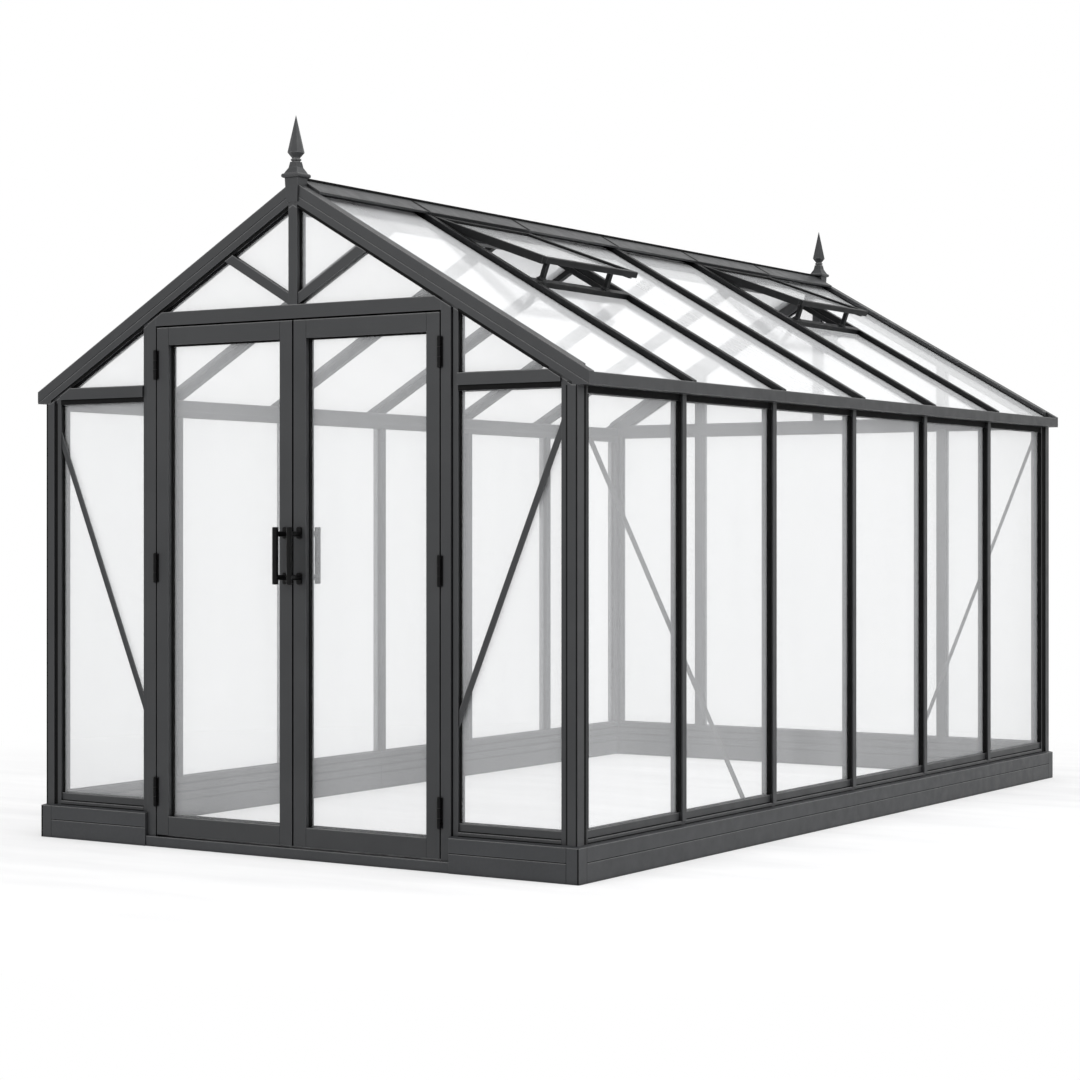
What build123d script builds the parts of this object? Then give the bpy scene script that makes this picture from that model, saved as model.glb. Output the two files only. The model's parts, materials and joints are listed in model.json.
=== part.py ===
from build123d import *
import math
import os

# Glass greenhouse with double doors, two roof vents and a finial on each gable.
# X runs from left to right, Y from front to rear, Z up from the ground. Millimetres.

# ---- Overall size ----------------------------------------------------------------------
plinth_width = 2440.0  # left face to right face of the plinth
plinth_length = 4270.0  # front face to rear face of the plinth
side_bays = 6
eave_height = 1710.0  # top of the gutters
roof_pitch = 30.0  # degrees

# ---- Plinth and sill -------------------------------------------------------------------
plinth_face = 122.0  # height of the upright outer face
plinth_seam = 68.0  # height of the groove between its two courses
seam_height = 3.0
seam_depth = 2.0
bevel_out = 14.0
bevel_rise = 5.0
plinth_thickness = 50.0
plinth_joint = 1.0  # gap between the two lengths of a side plinth
end_groove = 2.0  # width of the groove where a plinth meets a corner block
sill_height = 38.0
sill_depth = 68.0
sill_setback = 4.0  # behind the plinth's outer face

# ---- Wall members ----------------------------------------------------------------------
member_depth = 50.0  # outer face to inner face of the wall frame
post_width = 28.0
corner_width = 40.0
jamb_width = 41.0
rear_post_width = 44.0
corner_arm = 29.0  # glazing channel beside a corner post, on the gable
corner_side_arm = 38.0  # the same on the side wall
jamb_arm = 26.0  # glazing channel beside a jamb
arm_setback = 8.0
groove_width = 5.0  # dark groove between a post and its channel
side_groove_width = 9.0
groove_depth = 22.0
lip_height = 15.0  # lower step of a bottom rail
lip_setback = 7.0
rail_setback = 14.0
bottom_rail = 45.0
head_rail = 24.0
eave_rail = 43.0  # cross rail of a gable at eave level
eave_rail_channel = 19.0  # recessed channel below that rail
eave_rail_drop = 6.0  # the channel starts this far below the gutter's underside
header_height = 50.0
king_width = 40.0
strut_width = 36.0
strut_setback = 4.0
brace_width = 23.0
brace_thickness = 4.0
gable_brace_depth = 12.0  # a front panel's brace lies outside the glass, this far behind the frame's face
brace_seat = 6.0  # end of a wall brace in from the edge of the channel that it is bolted to
gable_brace_top = 1526.0
gable_brace_foot = 528.0
wall_brace_top = 1602.0
near_brace_foot = (1292.0, 150.0)  # behind the plinth's front face, and up
far_brace_foot = 240.0

# ---- Glass -----------------------------------------------------------------------------
glass = 4.0
glass_play = 0.3  # on each face of a pane
glass_setback = 25.0  # outer face of the wall frame to its glazing slots
slot_bite = 9.0
edge_play = 1.0  # between a pane's edge and the bottom of its slot

# ---- Roof ------------------------------------------------------------------------------
gutter_reach = 46.0
gutter_height = 43.0
gutter_wall = 3.0
gutter_joint = 1.0  # gap between two lengths, in line with a post
bar_over_gutter = 3.0  # roof line above the gutter's outer lip
bar_width = 28.0
bar_depth = 50.0
bar_cap = 22.0  # part of a bar that stands above the glass
bar_end_play = 2.0  # bar's lower end to the gutter's outer wall
glass_end_play = 14.0  # roof glass to the gutter's outer wall
rafter_depth = 74.0
rafter_seam = 35.0  # groove along a gable rafter, square below its top
rafter_channel = 10.0  # lower band of a gable rafter, set back
rafter_nose = 30.0  # thickness of a gable rafter where it passes the gutter's end
ridge_beam_width = 60.0
ridge_beam_height = 115.0
ridge_cap_side = 95.0  # width of each sloping side
ridge_cap_thickness = 10.0
ridge_cap_joint = 2.0

# ---- Roof vents ------------------------------------------------------------------------
vent_bays = (1, 4)  # counted from the front, the first is 0
vent_angle = 10.0  # how far the vents stand open, degrees
vent_hinge_run = 106.0  # from the ridge line, along the slope
vent_length = 556.0
vent_depth = 24.0
vent_side_depth = 32.0
vent_member = 22.0
vent_side_play = 6.0
vent_hinge_radius = 8.0
vent_head_run = 60.0
vent_sill_run = 626.0
stay_width = 18.0
stay_inset = 46.0  # of the stay nearer the doors
far_stay_inset = 150.0

# ---- Double doors ----------------------------------------------------------------------
door_opening = 1300.0
door_opening_top = 1942.0
door_side_gap = 6.0
door_end_gap = 7.0
meeting_gap = 8.0
leaf_depth = 44.0
stop_thickness = 4.0
stop_cover = 12.0  # overlap of a door stop, on the leaf and on the frame
stop_joint = 1.0  # between the side stops and the head stop
stile_width = 56.0
door_top_rail = 66.0
door_bottom_rail = 70.0
door_glass_setback = 30.0
hinge_heights = (205.0, 1040.0, 1797.0)
hinge_length = 105.0
barrel_radius = 7.0
barrel_stand = 8.0  # barrel's axis in front of the leaf's face
pin_radius = 3.0
pin_play = 0.05
knuckle_play = 0.5
hinge_plate = 4.0
hinge_plate_thickness = 3.0
barrel_to_plate = 1.0
handle_height = 1089.0
handle_length = 206.0
handle_radius = 11.0
handle_reach = 60.0  # leaf's face to the bar's axis
standoff_radius = 9.5
standoff_spacing = 156.0
handle_foot_width = 20.0
handle_foot_height = 42.0
handle_foot_thickness = 7.0

# ---- Finials ---------------------------------------------------------------------------
finial_block = 58.0
finial_block_foot = 50.0
finial_block_height = 87.0
finial_proud = 10.0  # block's face in front of the gable
collar_width = 76.0
collar_height = 16.0
flare_width = 62.0
flare_height = 43.0
neck_radius = 15.0
neck_height = 14.0
neck_ring_radius = 19.0
neck_ring_height = 5.0
spike_radius = 31.0
spike_cone_height = 19.0
spike_height = 134.0
spike_sides = 8

# ---- Derived places --------------------------------------------------------------------
frame_x = plinth_width / 2 - bevel_out  # outer face of the side walls
frame_y = plinth_length / 2 - bevel_out  # outer face of the gables
plinth_top = plinth_face + bevel_rise
plinth_inner = plinth_thickness - bevel_out
slot = glass + 2 * glass_play
slot_inner = glass_setback + slot
pane_bite = slot_bite - edge_play
pitch = math.radians(roof_pitch)
upright = 1 / math.cos(pitch)  # a slope's upright measure over its square measure
gutter_bottom = eave_height - gutter_height
head_bottom = gutter_bottom - head_rail
eave_x = frame_x + gutter_reach
ridge_height = eave_height + bar_over_gutter + eave_x * math.tan(pitch)
first_bar_y = -frame_y + member_depth / 2
bay = 2 * abs(first_bar_y) / side_bays
post_y = [first_bar_y + bay * n for n in range(1, side_bays)]
half_opening = door_opening / 2
jamb_outer = half_opening + jamb_width
arm_end = jamb_outer + jamb_arm
corner_inner = frame_x - corner_width
corner_arm_end = corner_inner - corner_arm
lip_top = plinth_top + lip_height
eave_rail_bottom = gutter_bottom - eave_rail_drop
rear_reach = max(bevel_out, finial_proud + (collar_width - finial_block) / 2)
origin_shift = (handle_reach + handle_radius - rear_reach) / 2  # centres the overall length

os.makedirs("parts", exist_ok=True)


# ---- Shapes ----------------------------------------------------------------------------
def box(x0, x1, y0, y1, z0, z1):
    return Pos((x0 + x1) / 2, (y0 + y1) / 2, (z0 + z1) / 2) * Box(x1 - x0, y1 - y0, z1 - z0)


def prism(points, direction):
    face = Face(Wire.make_polygon([Vector(*p) for p in points], close=True))
    return Solid.extrude(face, Vector(*direction))


def on_wall(wall, along, depth, height):
    """A point of a wall frame: along it, inward from its outer face, and up."""
    if wall == "front":
        return (along, depth - frame_y, height)
    if wall == "rear":
        return (along, frame_y - depth, height)
    if wall == "right":
        return (frame_x - depth, along, height)
    return (depth - frame_x, along, height)


def wall_step(wall, along, depth, height):
    start = on_wall(wall, 0, 0, 0)
    end = on_wall(wall, along, depth, height)
    return tuple(b - a for a, b in zip(start, end))


def rail(wall, start, end, profile):
    """A bar along a wall: profile holds (depth, height) points."""
    points = [on_wall(wall, start, d, h) for d, h in profile]
    return prism(points, wall_step(wall, end - start, 0, 0))


def plate(wall, outer, inner, outline):
    """A piece with its outline in the wall's plane: outline holds (along, height) points."""
    points = [on_wall(wall, a, outer, h) for a, h in outline]
    return prism(points, wall_step(wall, 0, inner - outer, 0))


def stud(wall, low, high, a0, a1, d0, d1):
    """An upright of oblong section."""
    return plate(wall, d0, d1, [(a0, low), (a1, low), (a1, high), (a0, high)])


def mirrored_x(shape):
    return shape.mirror(Plane.YZ)


def mirrored_y(shape):
    return shape.mirror(Plane.XZ)


def save(name, *shapes):
    solids = [s for shape in shapes for s in shape.solids()]
    part = Compound(solids).moved(Location((0, origin_shift, 0)))
    export_step(part, os.path.join("parts", name + ".step"))


# ---- Roof geometry ---------------------------------------------------------------------
def roof_line(x, below=0.0):
    """Height of the roof's top plane at x, or of a plane square below it."""
    return ridge_height - abs(x) * math.tan(pitch) - below * upright


def slope_point(run, below):
    """(x, z) of a point of the right slope: down it from the ridge, and square below it."""
    x = run * math.cos(pitch) - below * math.sin(pitch)
    z = ridge_height - run * math.sin(pitch) - below * math.cos(pitch)
    return x, z


def slope_band(x0, x1, top, bottom):
    """Outline of a layer of the right slope with upright ends."""
    return [(x0, roof_line(x0, top)), (x1, roof_line(x1, top)),
            (x1, roof_line(x1, bottom)), (x0, roof_line(x0, bottom))]


def slope_block(run0, run1, top, bottom):
    """Outline of a layer of the right slope with square ends."""
    return [slope_point(run0, top), slope_point(run1, top),
            slope_point(run1, bottom), slope_point(run0, bottom)]


def across(outline, y0, y1):
    """A solid from an (x, z) outline between two places along the building."""
    return prism([(x, y0, z) for x, z in outline], (0, y1 - y0, 0))


def rafter_line(a, lift=0.0):
    """Height of a gable rafter's underside, or of a plane square above it."""
    return roof_line(a, rafter_depth - lift)


# A rafter's underside turns level at the gutter's bottom.
level_x = (rafter_line(0) - gutter_bottom) / math.tan(pitch)
under_rafters = [(-eave_x, 0), (eave_x, 0), (eave_x, gutter_bottom), (level_x, gutter_bottom),
                 (0, rafter_line(0)), (-level_x, gutter_bottom), (-eave_x, gutter_bottom)]
rafter_outline = [(0, ridge_height), (eave_x, roof_line(eave_x)), (eave_x, gutter_bottom),
                  (level_x, gutter_bottom), (0, rafter_line(0))]


def below_rafters(wall, shape):
    return shape & plate(wall, -bevel_out, member_depth, under_rafters)


def under_slope(a0, a1, foot, lift):
    """Outline of what fills a gable between two uprights, a foot and the rafter above."""
    reach = (ridge_height - (rafter_depth - lift) * upright - foot) / math.tan(pitch)
    if abs(a1) < reach:
        return [(a0, foot), (a1, foot), (a1, rafter_line(a1, lift)), (a0, rafter_line(a0, lift))]
    return [(a0, foot), (math.copysign(reach, a1), foot), (a0, rafter_line(a0, lift))]


# ---- Plinth ----------------------------------------------------------------------------
plain_course = [(-bevel_out, 0), (-bevel_out, plinth_face), (0, plinth_top),
                (plinth_inner, plinth_top), (plinth_inner, 0)]
seam_floor = seam_depth - bevel_out
seamed_course = [(-bevel_out, 0), (-bevel_out, plinth_seam), (seam_floor, plinth_seam),
                 (seam_floor, plinth_seam + seam_height), (-bevel_out, plinth_seam + seam_height),
                 *plain_course[1:]]
block_x = plinth_width / 2 - plinth_thickness
block_y = plinth_length / 2 - plinth_thickness


def end_recess(wall, start, end):
    """The upright groove that sets a plinth's end off from the corner block."""
    return stud(wall, 0, plinth_top, start, end, -bevel_out, seam_floor)


front_plinth = (rail("front", jamb_outer, block_x, seamed_course)
                - end_recess("front", block_x - end_groove, block_x))
save("front_plinth", front_plinth, mirrored_x(front_plinth))
save("rear_plinth", rail("rear", -block_x, block_x, seamed_course)
     - end_recess("rear", -block_x, end_groove - block_x)
     - end_recess("rear", block_x - end_groove, block_x))
side_lengths = [rail("right", -block_y, -plinth_joint / 2, seamed_course)
                - end_recess("right", -block_y, end_groove - block_y),
                rail("right", plinth_joint / 2, block_y, seamed_course)
                - end_recess("right", block_y - end_groove, block_y)]
save("side_plinths", *side_lengths, *[mirrored_x(length) for length in side_lengths])

corner_block = (rail("front", block_x, plinth_width / 2, plain_course)
                & rail("right", -plinth_length / 2, -block_y, plain_course))
front_blocks = [corner_block, mirrored_x(corner_block)]
save("plinth_corner_blocks", *front_blocks, *[mirrored_y(b) for b in front_blocks])

sill_front = sill_setback - bevel_out
save("door_sill", stud("front", 0, sill_height, -jamb_outer, jamb_outer,
                       sill_front, sill_front + sill_depth))


# ---- Corner posts, side posts and side rails -------------------------------------------
side_end = frame_y - corner_width - corner_side_arm


def corner_post(top):
    """A corner post with a grooved glazing channel along each of its two walls."""
    post = stud("front", plinth_top, top, corner_inner, frame_x, 0, corner_width)
    front_arm = stud("front", plinth_top, top, corner_arm_end, corner_inner,
                     arm_setback, member_depth)
    front_slot = stud("front", plinth_top, top, corner_arm_end, corner_arm_end + slot_bite,
                      glass_setback, slot_inner)
    front_groove = stud("front", plinth_top, top, corner_inner - groove_width, corner_inner,
                        0, groove_depth)
    side_start = corner_width - frame_y
    side_arm = stud("right", plinth_top, gutter_bottom, side_start, -side_end,
                    arm_setback, member_depth)
    side_slot = stud("right", plinth_top, gutter_bottom, -side_end - slot_bite, -side_end,
                     glass_setback, slot_inner)
    side_groove = stud("right", plinth_top, gutter_bottom, side_start, side_start + side_groove_width,
                       0, groove_depth)
    gable_part = below_rafters("front", post + front_arm - front_slot - front_groove)
    return gable_part + side_arm - side_slot - side_groove


right_front_post = corner_post(roof_line(corner_arm_end))
front_corner_posts = [right_front_post, mirrored_x(right_front_post)]
save("corner_posts", *front_corner_posts, *[mirrored_y(p) for p in front_corner_posts])


def side_post(wall, y):
    half = post_width / 2
    web_half = half - slot_bite
    fin = stud(wall, lip_top, gutter_bottom, y - half, y + half, 0, glass_setback)
    web = stud(wall, lip_top, gutter_bottom, y - web_half, y + web_half, glass_setback, slot_inner)
    flange = stud(wall, lip_top, gutter_bottom, y - half, y + half, slot_inner, member_depth)
    return fin + web + flange


def slotted_up(low, high, outer):
    """Rail profile with its glazing slot along the top."""
    return [(outer, low), (outer, high), (glass_setback, high), (glass_setback, high - slot_bite),
            (slot_inner, high - slot_bite), (slot_inner, high), (member_depth, high),
            (member_depth, low)]


def slotted_down(low, high, outer):
    """Rail profile with its glazing slot along the bottom."""
    return [(outer, high), (outer, low), (glass_setback, low), (glass_setback, low + slot_bite),
            (slot_inner, low + slot_bite), (slot_inner, low), (member_depth, low),
            (member_depth, high)]


lip_profile = [(lip_setback, plinth_top), (lip_setback, lip_top), (member_depth, lip_top),
               (member_depth, plinth_top)]
bottom_profile = slotted_up(lip_top, plinth_top + bottom_rail, rail_setback)
head_profile = slotted_down(head_bottom, gutter_bottom, rail_setback)
bay_edges = [-side_end]
for y in post_y:
    bay_edges += [y - post_width / 2, y + post_width / 2]
bay_edges.append(side_end)
bay_spans = list(zip(bay_edges[0::2], bay_edges[1::2]))
pane_low = plinth_top + bottom_rail - pane_bite
pane_high = head_bottom + pane_bite
pane_outer = glass_setback + glass_play
pane_inner = pane_outer + glass


def bottom_rail_bar(wall, start, end, spans):
    """A bottom rail: its lip runs through under the posts, and its upper part stops at them."""
    bar = rail(wall, start, end, lip_profile)
    for a, b in spans:
        bar += rail(wall, a, b, bottom_profile)
    return bar


sides = ("left", "right")
save("wall_posts", *[side_post(side, y) for side in sides for y in post_y])
for side in sides:
    save(side + "_wall_rails", bottom_rail_bar(side, -side_end, side_end, bay_spans),
         *[rail(side, a, b, head_profile) for a, b in bay_spans])
save("wall_glass",
     *[stud(side, pane_low, pane_high, a - pane_bite, b + pane_bite, pane_outer, pane_inner)
       for side in sides for a, b in bay_spans])


# ---- Gable frames ----------------------------------------------------------------------
def gable_rafter(wall):
    rafter = plate(wall, 0, member_depth, rafter_outline)
    gable_slot = plate(wall, glass_setback, slot_inner,
                       slope_band(0, frame_x, rafter_depth - slot_bite, rafter_depth))
    roof_slot = plate(wall, member_depth - slot_bite, member_depth,
                      slope_band(ridge_beam_width / 2, eave_x, bar_cap, bar_cap + slot))
    block = plate(wall, 0, member_depth, block_outline)
    gutter_end = plate(wall, rafter_nose, member_depth, [(frame_x, gutter_bottom),
                                                         (eave_x, gutter_bottom),
                                                         (eave_x, ridge_height),
                                                         (frame_x, ridge_height)])
    seam = plate(wall, 0, seam_depth,
                 slope_band(block_half, eave_x, rafter_seam, rafter_seam + seam_height))
    channel = plate(wall, 0, arm_setback,
                    slope_band(king_width / 2, level_x, rafter_depth - rafter_channel, rafter_depth))
    return rafter - gable_slot - roof_slot - block - gutter_end - seam - channel


block_top = ridge_height + ridge_cap_thickness * upright
block_foot = block_top - finial_block_height
block_half = finial_block / 2
block_foot_half = finial_block_foot / 2
block_outline = [(-block_foot_half, block_foot), (block_foot_half, block_foot),
                 (block_half, block_top), (-block_half, block_top)]


def jamb():
    """Right-hand jamb of the doorway, with a grooved glazing channel on its outer side."""
    post = stud("front", sill_height, ridge_height, half_opening, jamb_outer, 0, member_depth)
    arm = stud("front", plinth_top, ridge_height, jamb_outer, arm_end, arm_setback, member_depth)
    arm_slot = stud("front", plinth_top, ridge_height, arm_end - slot_bite, arm_end,
                    glass_setback, slot_inner)
    groove = stud("front", plinth_top, ridge_height, jamb_outer, jamb_outer + groove_width,
                  0, groove_depth)
    return below_rafters("front", post + arm - arm_slot - groove)


def glazing_post(wall, foot, top, start, width):
    """An upright of a gable with a glazing slot along both its edges."""
    post = stud(wall, foot, top, start, start + width, 0, member_depth)
    for edge in (start, start + width - slot_bite):
        post -= stud(wall, foot, top, edge, edge + slot_bite, glass_setback, slot_inner)
    return below_rafters(wall, post)


def king_post(wall, foot):
    return glazing_post(wall, foot, block_foot, -king_width / 2, king_width)


def eave_rail_profile(low, high):
    """Gable rail at eave level: slots above and below, its lower channel set back."""
    channel_top = low + eave_rail_channel
    return [(0, high), (0, channel_top), (arm_setback, channel_top), (arm_setback, low),
            (glass_setback, low), (glass_setback, low + slot_bite),
            (slot_inner, low + slot_bite), (slot_inner, low), (member_depth, low),
            (member_depth, high), (slot_inner, high), (slot_inner, high - slot_bite),
            (glass_setback, high - slot_bite), (glass_setback, high)]


eave_rail_top = eave_rail_bottom + eave_rail_channel + eave_rail
eave_profile = eave_rail_profile(eave_rail_bottom, eave_rail_top)
header_top = door_opening_top + header_height
header_profile = [(0, header_top), (0, door_opening_top), (member_depth, door_opening_top),
                  (member_depth, header_top), (slot_inner, header_top),
                  (slot_inner, header_top - slot_bite), (glass_setback, header_top - slot_bite),
                  (glass_setback, header_top)]

for wall in ("front", "rear"):
    rafter = gable_rafter(wall)
    save(wall + "_rafters", rafter, mirrored_x(rafter))
door_jamb = jamb()
save("door_jambs", door_jamb, mirrored_x(door_jamb))
rear_post_outer = half_opening + rear_post_width
rear_post = glazing_post("rear", plinth_top, ridge_height, half_opening, rear_post_width)
save("door_header", below_rafters("front", rail("front", -half_opening, half_opening,
                                                header_profile)))
save("gable_posts", king_post("front", header_top), king_post("rear", eave_rail_top),
     rear_post, mirrored_x(rear_post))


def gable_bottom_rail(wall, start, end):
    return bottom_rail_bar(wall, start, end, [(start, end)])


front_bottom = gable_bottom_rail("front", arm_end, corner_arm_end)
front_eave = below_rafters("front", rail("front", arm_end, corner_arm_end, eave_profile))
rear_bottom = gable_bottom_rail("rear", rear_post_outer, corner_arm_end)
rear_eave = below_rafters("rear", rail("rear", rear_post_outer, corner_arm_end, eave_profile))
right_rails = [front_bottom, front_eave, rear_bottom, rear_eave]
save("gable_rails", *right_rails, *[mirrored_x(r) for r in right_rails],
     gable_bottom_rail("rear", -half_opening, half_opening),
     rail("rear", -half_opening, half_opening, eave_profile))

# Flat strips on the inner face of the doorway, which the closed leaves come to rest against.
stop_inner = member_depth + stop_thickness
stop_edge = half_opening - stop_cover
stop_top = door_opening_top - stop_cover
side_stop = stud("front", sill_height, stop_top - stop_joint, stop_edge, half_opening + stop_cover,
                 member_depth, stop_inner)
head_stop = stud("front", stop_top, door_opening_top + stop_cover, -half_opening - stop_cover,
                 half_opening + stop_cover, member_depth, stop_inner)
save("door_stops", side_stop, mirrored_x(side_stop), head_stop)

# Struts rise from the foot of the king post to the rafters, at the roof's own pitch.
strut_foot = header_top + strut_width * upright
strut_meet = (rafter_line(0) - strut_foot + king_width / 2 * math.tan(pitch)) / (2 * math.tan(pitch))
strut_run = 2 * strut_meet
strut_outline = [(king_width / 2, strut_foot - strut_width * upright),
                 (king_width / 2, strut_foot),
                 (strut_run, strut_foot + (strut_run - king_width / 2) * math.tan(pitch)),
                 (strut_run, strut_foot + (strut_run - king_width / 2) * math.tan(pitch)
                  - strut_width * upright)]
strut = below_rafters("front", plate("front", strut_setback, glass_setback, strut_outline))
save("front_gable_struts", strut, mirrored_x(strut))

# ---- Gable glass -----------------------------------------------------------------------
def side_panes(wall, inner_edge):
    """The two right-hand panes between an upright and the corner post, below and above the rail."""
    start = inner_edge - pane_bite
    end = corner_arm_end + pane_bite
    top = eave_rail_bottom + pane_bite
    lower = [(start, pane_low), (end, pane_low), (end, top), (start, top)]
    upper = under_slope(start, corner_arm_end, eave_rail_top - pane_bite, pane_bite)
    return [plate(wall, pane_outer, pane_inner, outline) for outline in (lower, upper)]


def centre_pane(wall, foot):
    outline = under_slope(king_width / 2 - pane_bite, half_opening + pane_bite, foot - pane_bite,
                          pane_bite)
    return plate(wall, pane_outer, pane_inner, outline)


front_panes = [*side_panes("front", arm_end), centre_pane("front", header_top)]
save("front_gable_glass", *front_panes, *[mirrored_x(p) for p in front_panes])
rear_panes = [*side_panes("rear", rear_post_outer), centre_pane("rear", eave_rail_top)]
rear_window = stud("rear", pane_low, eave_rail_bottom + pane_bite, -half_opening - pane_bite,
                   half_opening + pane_bite, pane_outer, pane_inner)
save("rear_gable_glass", *rear_panes, *[mirrored_x(p) for p in rear_panes], rear_window)

# ---- Eaves -----------------------------------------------------------------------------
inner_face_y = frame_y - member_depth
beam_outline = [(frame_x - member_depth, gutter_bottom), (frame_x, gutter_bottom),
                (frame_x, roof_line(frame_x, bar_depth)),
                (frame_x - member_depth, roof_line(frame_x - member_depth, bar_depth))]
eave_beam = across(beam_outline, -inner_face_y, inner_face_y)
save("eave_beams", eave_beam, mirrored_x(eave_beam))

gutter_back = roof_line(frame_x + gutter_wall, bar_cap + slot) - edge_play
gutter_outline = [(frame_x, gutter_bottom), (eave_x, gutter_bottom), (eave_x, eave_height),
                  (eave_x - gutter_wall, eave_height),
                  (eave_x - gutter_wall, gutter_bottom + gutter_wall),
                  (frame_x + gutter_wall, gutter_bottom + gutter_wall),
                  (frame_x + gutter_wall, gutter_back), (frame_x, gutter_back)]
gutter_ends = [rafter_nose - frame_y, *post_y, frame_y - rafter_nose]
gutter_lengths = [across(gutter_outline, a + gutter_joint / 2, b - gutter_joint / 2)
                  for a, b in zip(gutter_ends, gutter_ends[1:])]
save("gutters", *gutter_lengths, *[mirrored_x(length) for length in gutter_lengths])

# ---- Roof bars and ridge ---------------------------------------------------------------
bar_top_x = ridge_beam_width / 2
bar_end_x = eave_x - gutter_wall - bar_end_play


def roof_bar(y):
    half = bar_width / 2
    web_half = half - slot_bite
    cap = across(slope_band(bar_top_x, bar_end_x, 0, bar_cap), y - half, y + half)
    web = across(slope_band(bar_top_x, frame_x, bar_cap, bar_cap + slot), y - web_half, y + web_half)
    flange = across(slope_band(bar_top_x, frame_x, bar_cap + slot, bar_depth), y - half, y + half)
    return cap + web + flange


right_bars = [roof_bar(y) for y in post_y]
save("roof_bars", *right_bars, *[mirrored_x(b) for b in right_bars])

beam_half = ridge_beam_width / 2
ridge_outline = [(-beam_half, ridge_height - ridge_beam_height),
                 (beam_half, ridge_height - ridge_beam_height),
                 (beam_half, roof_line(beam_half)), (0, ridge_height),
                 (-beam_half, roof_line(beam_half))]
ridge_beam = across(ridge_outline, -inner_face_y, inner_face_y)
for wall in ("front", "rear"):
    ridge_beam -= plate(wall, 0, finial_block - finial_proud, block_outline)
save("ridge_beam", ridge_beam)

cap_right = slope_block(0, ridge_cap_side, -ridge_cap_thickness, 0)
cap_edge = cap_right[1]
cap_foot = cap_right[2]
cap_outline = [(0, block_top), cap_edge, cap_foot, (0, ridge_height),
               (-cap_foot[0], cap_foot[1]), (-cap_edge[0], cap_edge[1])]
block_back = finial_block - finial_proud - frame_y
cap_breaks = [block_back, *post_y, -block_back]
cap_lengths = [across(cap_outline, a + ridge_cap_joint / 2, b - ridge_cap_joint / 2)
               for a, b in zip(cap_breaks, cap_breaks[1:])]
save("ridge_cap", *cap_lengths)

# ---- Roof glass ------------------------------------------------------------------------
roof_edges = [-inner_face_y]
for y in post_y:
    roof_edges += [y - bar_width / 2, y + bar_width / 2]
roof_edges.append(inner_face_y)
roof_spans = list(zip(roof_edges[0::2], roof_edges[1::2]))
roof_pane_top = bar_cap + glass_play
roof_pane_bottom = roof_pane_top + glass
roof_pane_end = eave_x - gutter_wall - glass_end_play


def roof_pane(span, start):
    outline = slope_band(start, roof_pane_end, roof_pane_top, roof_pane_bottom)
    return across(outline, span[0] - pane_bite, span[1] + pane_bite)


full_panes = [roof_pane(span, beam_half + glass_play) for span in roof_spans]
vent_sill_foot = slope_point(vent_sill_run + bar_width, roof_pane_top)[0]
right_panes = [roof_pane(span, vent_sill_foot + glass_play) if n in vent_bays else full_panes[n]
               for n, span in enumerate(roof_spans)]
save("roof_glass", *right_panes, *[mirrored_x(p) for p in full_panes])

# ---- Roof vents ------------------------------------------------------------------------
open_pitch = math.radians(roof_pitch - vent_angle)
hinge_x, hinge_z = slope_point(vent_hinge_run, vent_hinge_radius)


def vent_point(run, below):
    """(x, z) of a point of an open vent: down it from its hinge, and square below its top."""
    drop = below - vent_hinge_radius
    x = hinge_x + run * math.cos(open_pitch) - drop * math.sin(open_pitch)
    z = hinge_z - run * math.sin(open_pitch) - drop * math.cos(open_pitch)
    return x, z


def vent_block(run0, run1, top, bottom):
    return [vent_point(run0, top), vent_point(run1, top),
            vent_point(run1, bottom), vent_point(run0, bottom)]


def vent_slot(span):
    """The glazing slot round the inside of a vent's frame."""
    reach = vent_member - slot_bite
    middle = vent_depth / 2
    outline = vent_block(reach, vent_length - reach, middle - slot / 2, middle + slot / 2)
    return across(outline, span[0] + vent_side_play + reach, span[1] - vent_side_play - reach)


def vent_sides(span):
    outline = vent_block(vent_member, vent_length - vent_member, 0, vent_side_depth)
    ends = [span[0] + vent_side_play, span[1] - vent_side_play - vent_member]
    return [across(outline, y, y + vent_member) - vent_slot(span) for y in ends]


def vent_ends(span):
    """The hinge bar with its bead along the ridge side, and the bottom bar."""
    y0 = span[0] + vent_side_play
    y1 = span[1] - vent_side_play
    bead = Pos(hinge_x, (y0 + y1) / 2, hinge_z) * Rot(90, 0, 0) * Cylinder(vent_hinge_radius, y1 - y0)
    hinge_bar = across(vent_block(0, vent_member, 0, vent_depth), y0, y1) + bead
    bottom_bar = across(vent_block(vent_length - vent_member, vent_length, 0, vent_depth), y0, y1)
    return [hinge_bar - vent_slot(span), bottom_bar - vent_slot(span)]


def vent_pane(span):
    bite = vent_member - pane_bite
    middle = vent_depth / 2
    outline = vent_block(bite, vent_length - bite, middle - glass / 2, middle + glass / 2)
    return across(outline, span[0] + vent_side_play + bite, span[1] - vent_side_play - bite)


def cross_rails(span):
    """The rails that close a vent's opening under the ridge cap and at its foot."""
    head_end = vent_hinge_run - vent_hinge_radius - glass_play
    head = across(slope_block(vent_head_run, head_end, 0, bar_cap), *span)
    sill = across(slope_block(vent_sill_run, vent_sill_run + bar_width, 0, bar_depth), *span)
    pane_slot = across(slope_block(vent_sill_run + bar_width - slot_bite, vent_sill_run + bar_width,
                                   bar_cap, bar_cap + slot), *span)
    return [head, sill - pane_slot]


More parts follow.
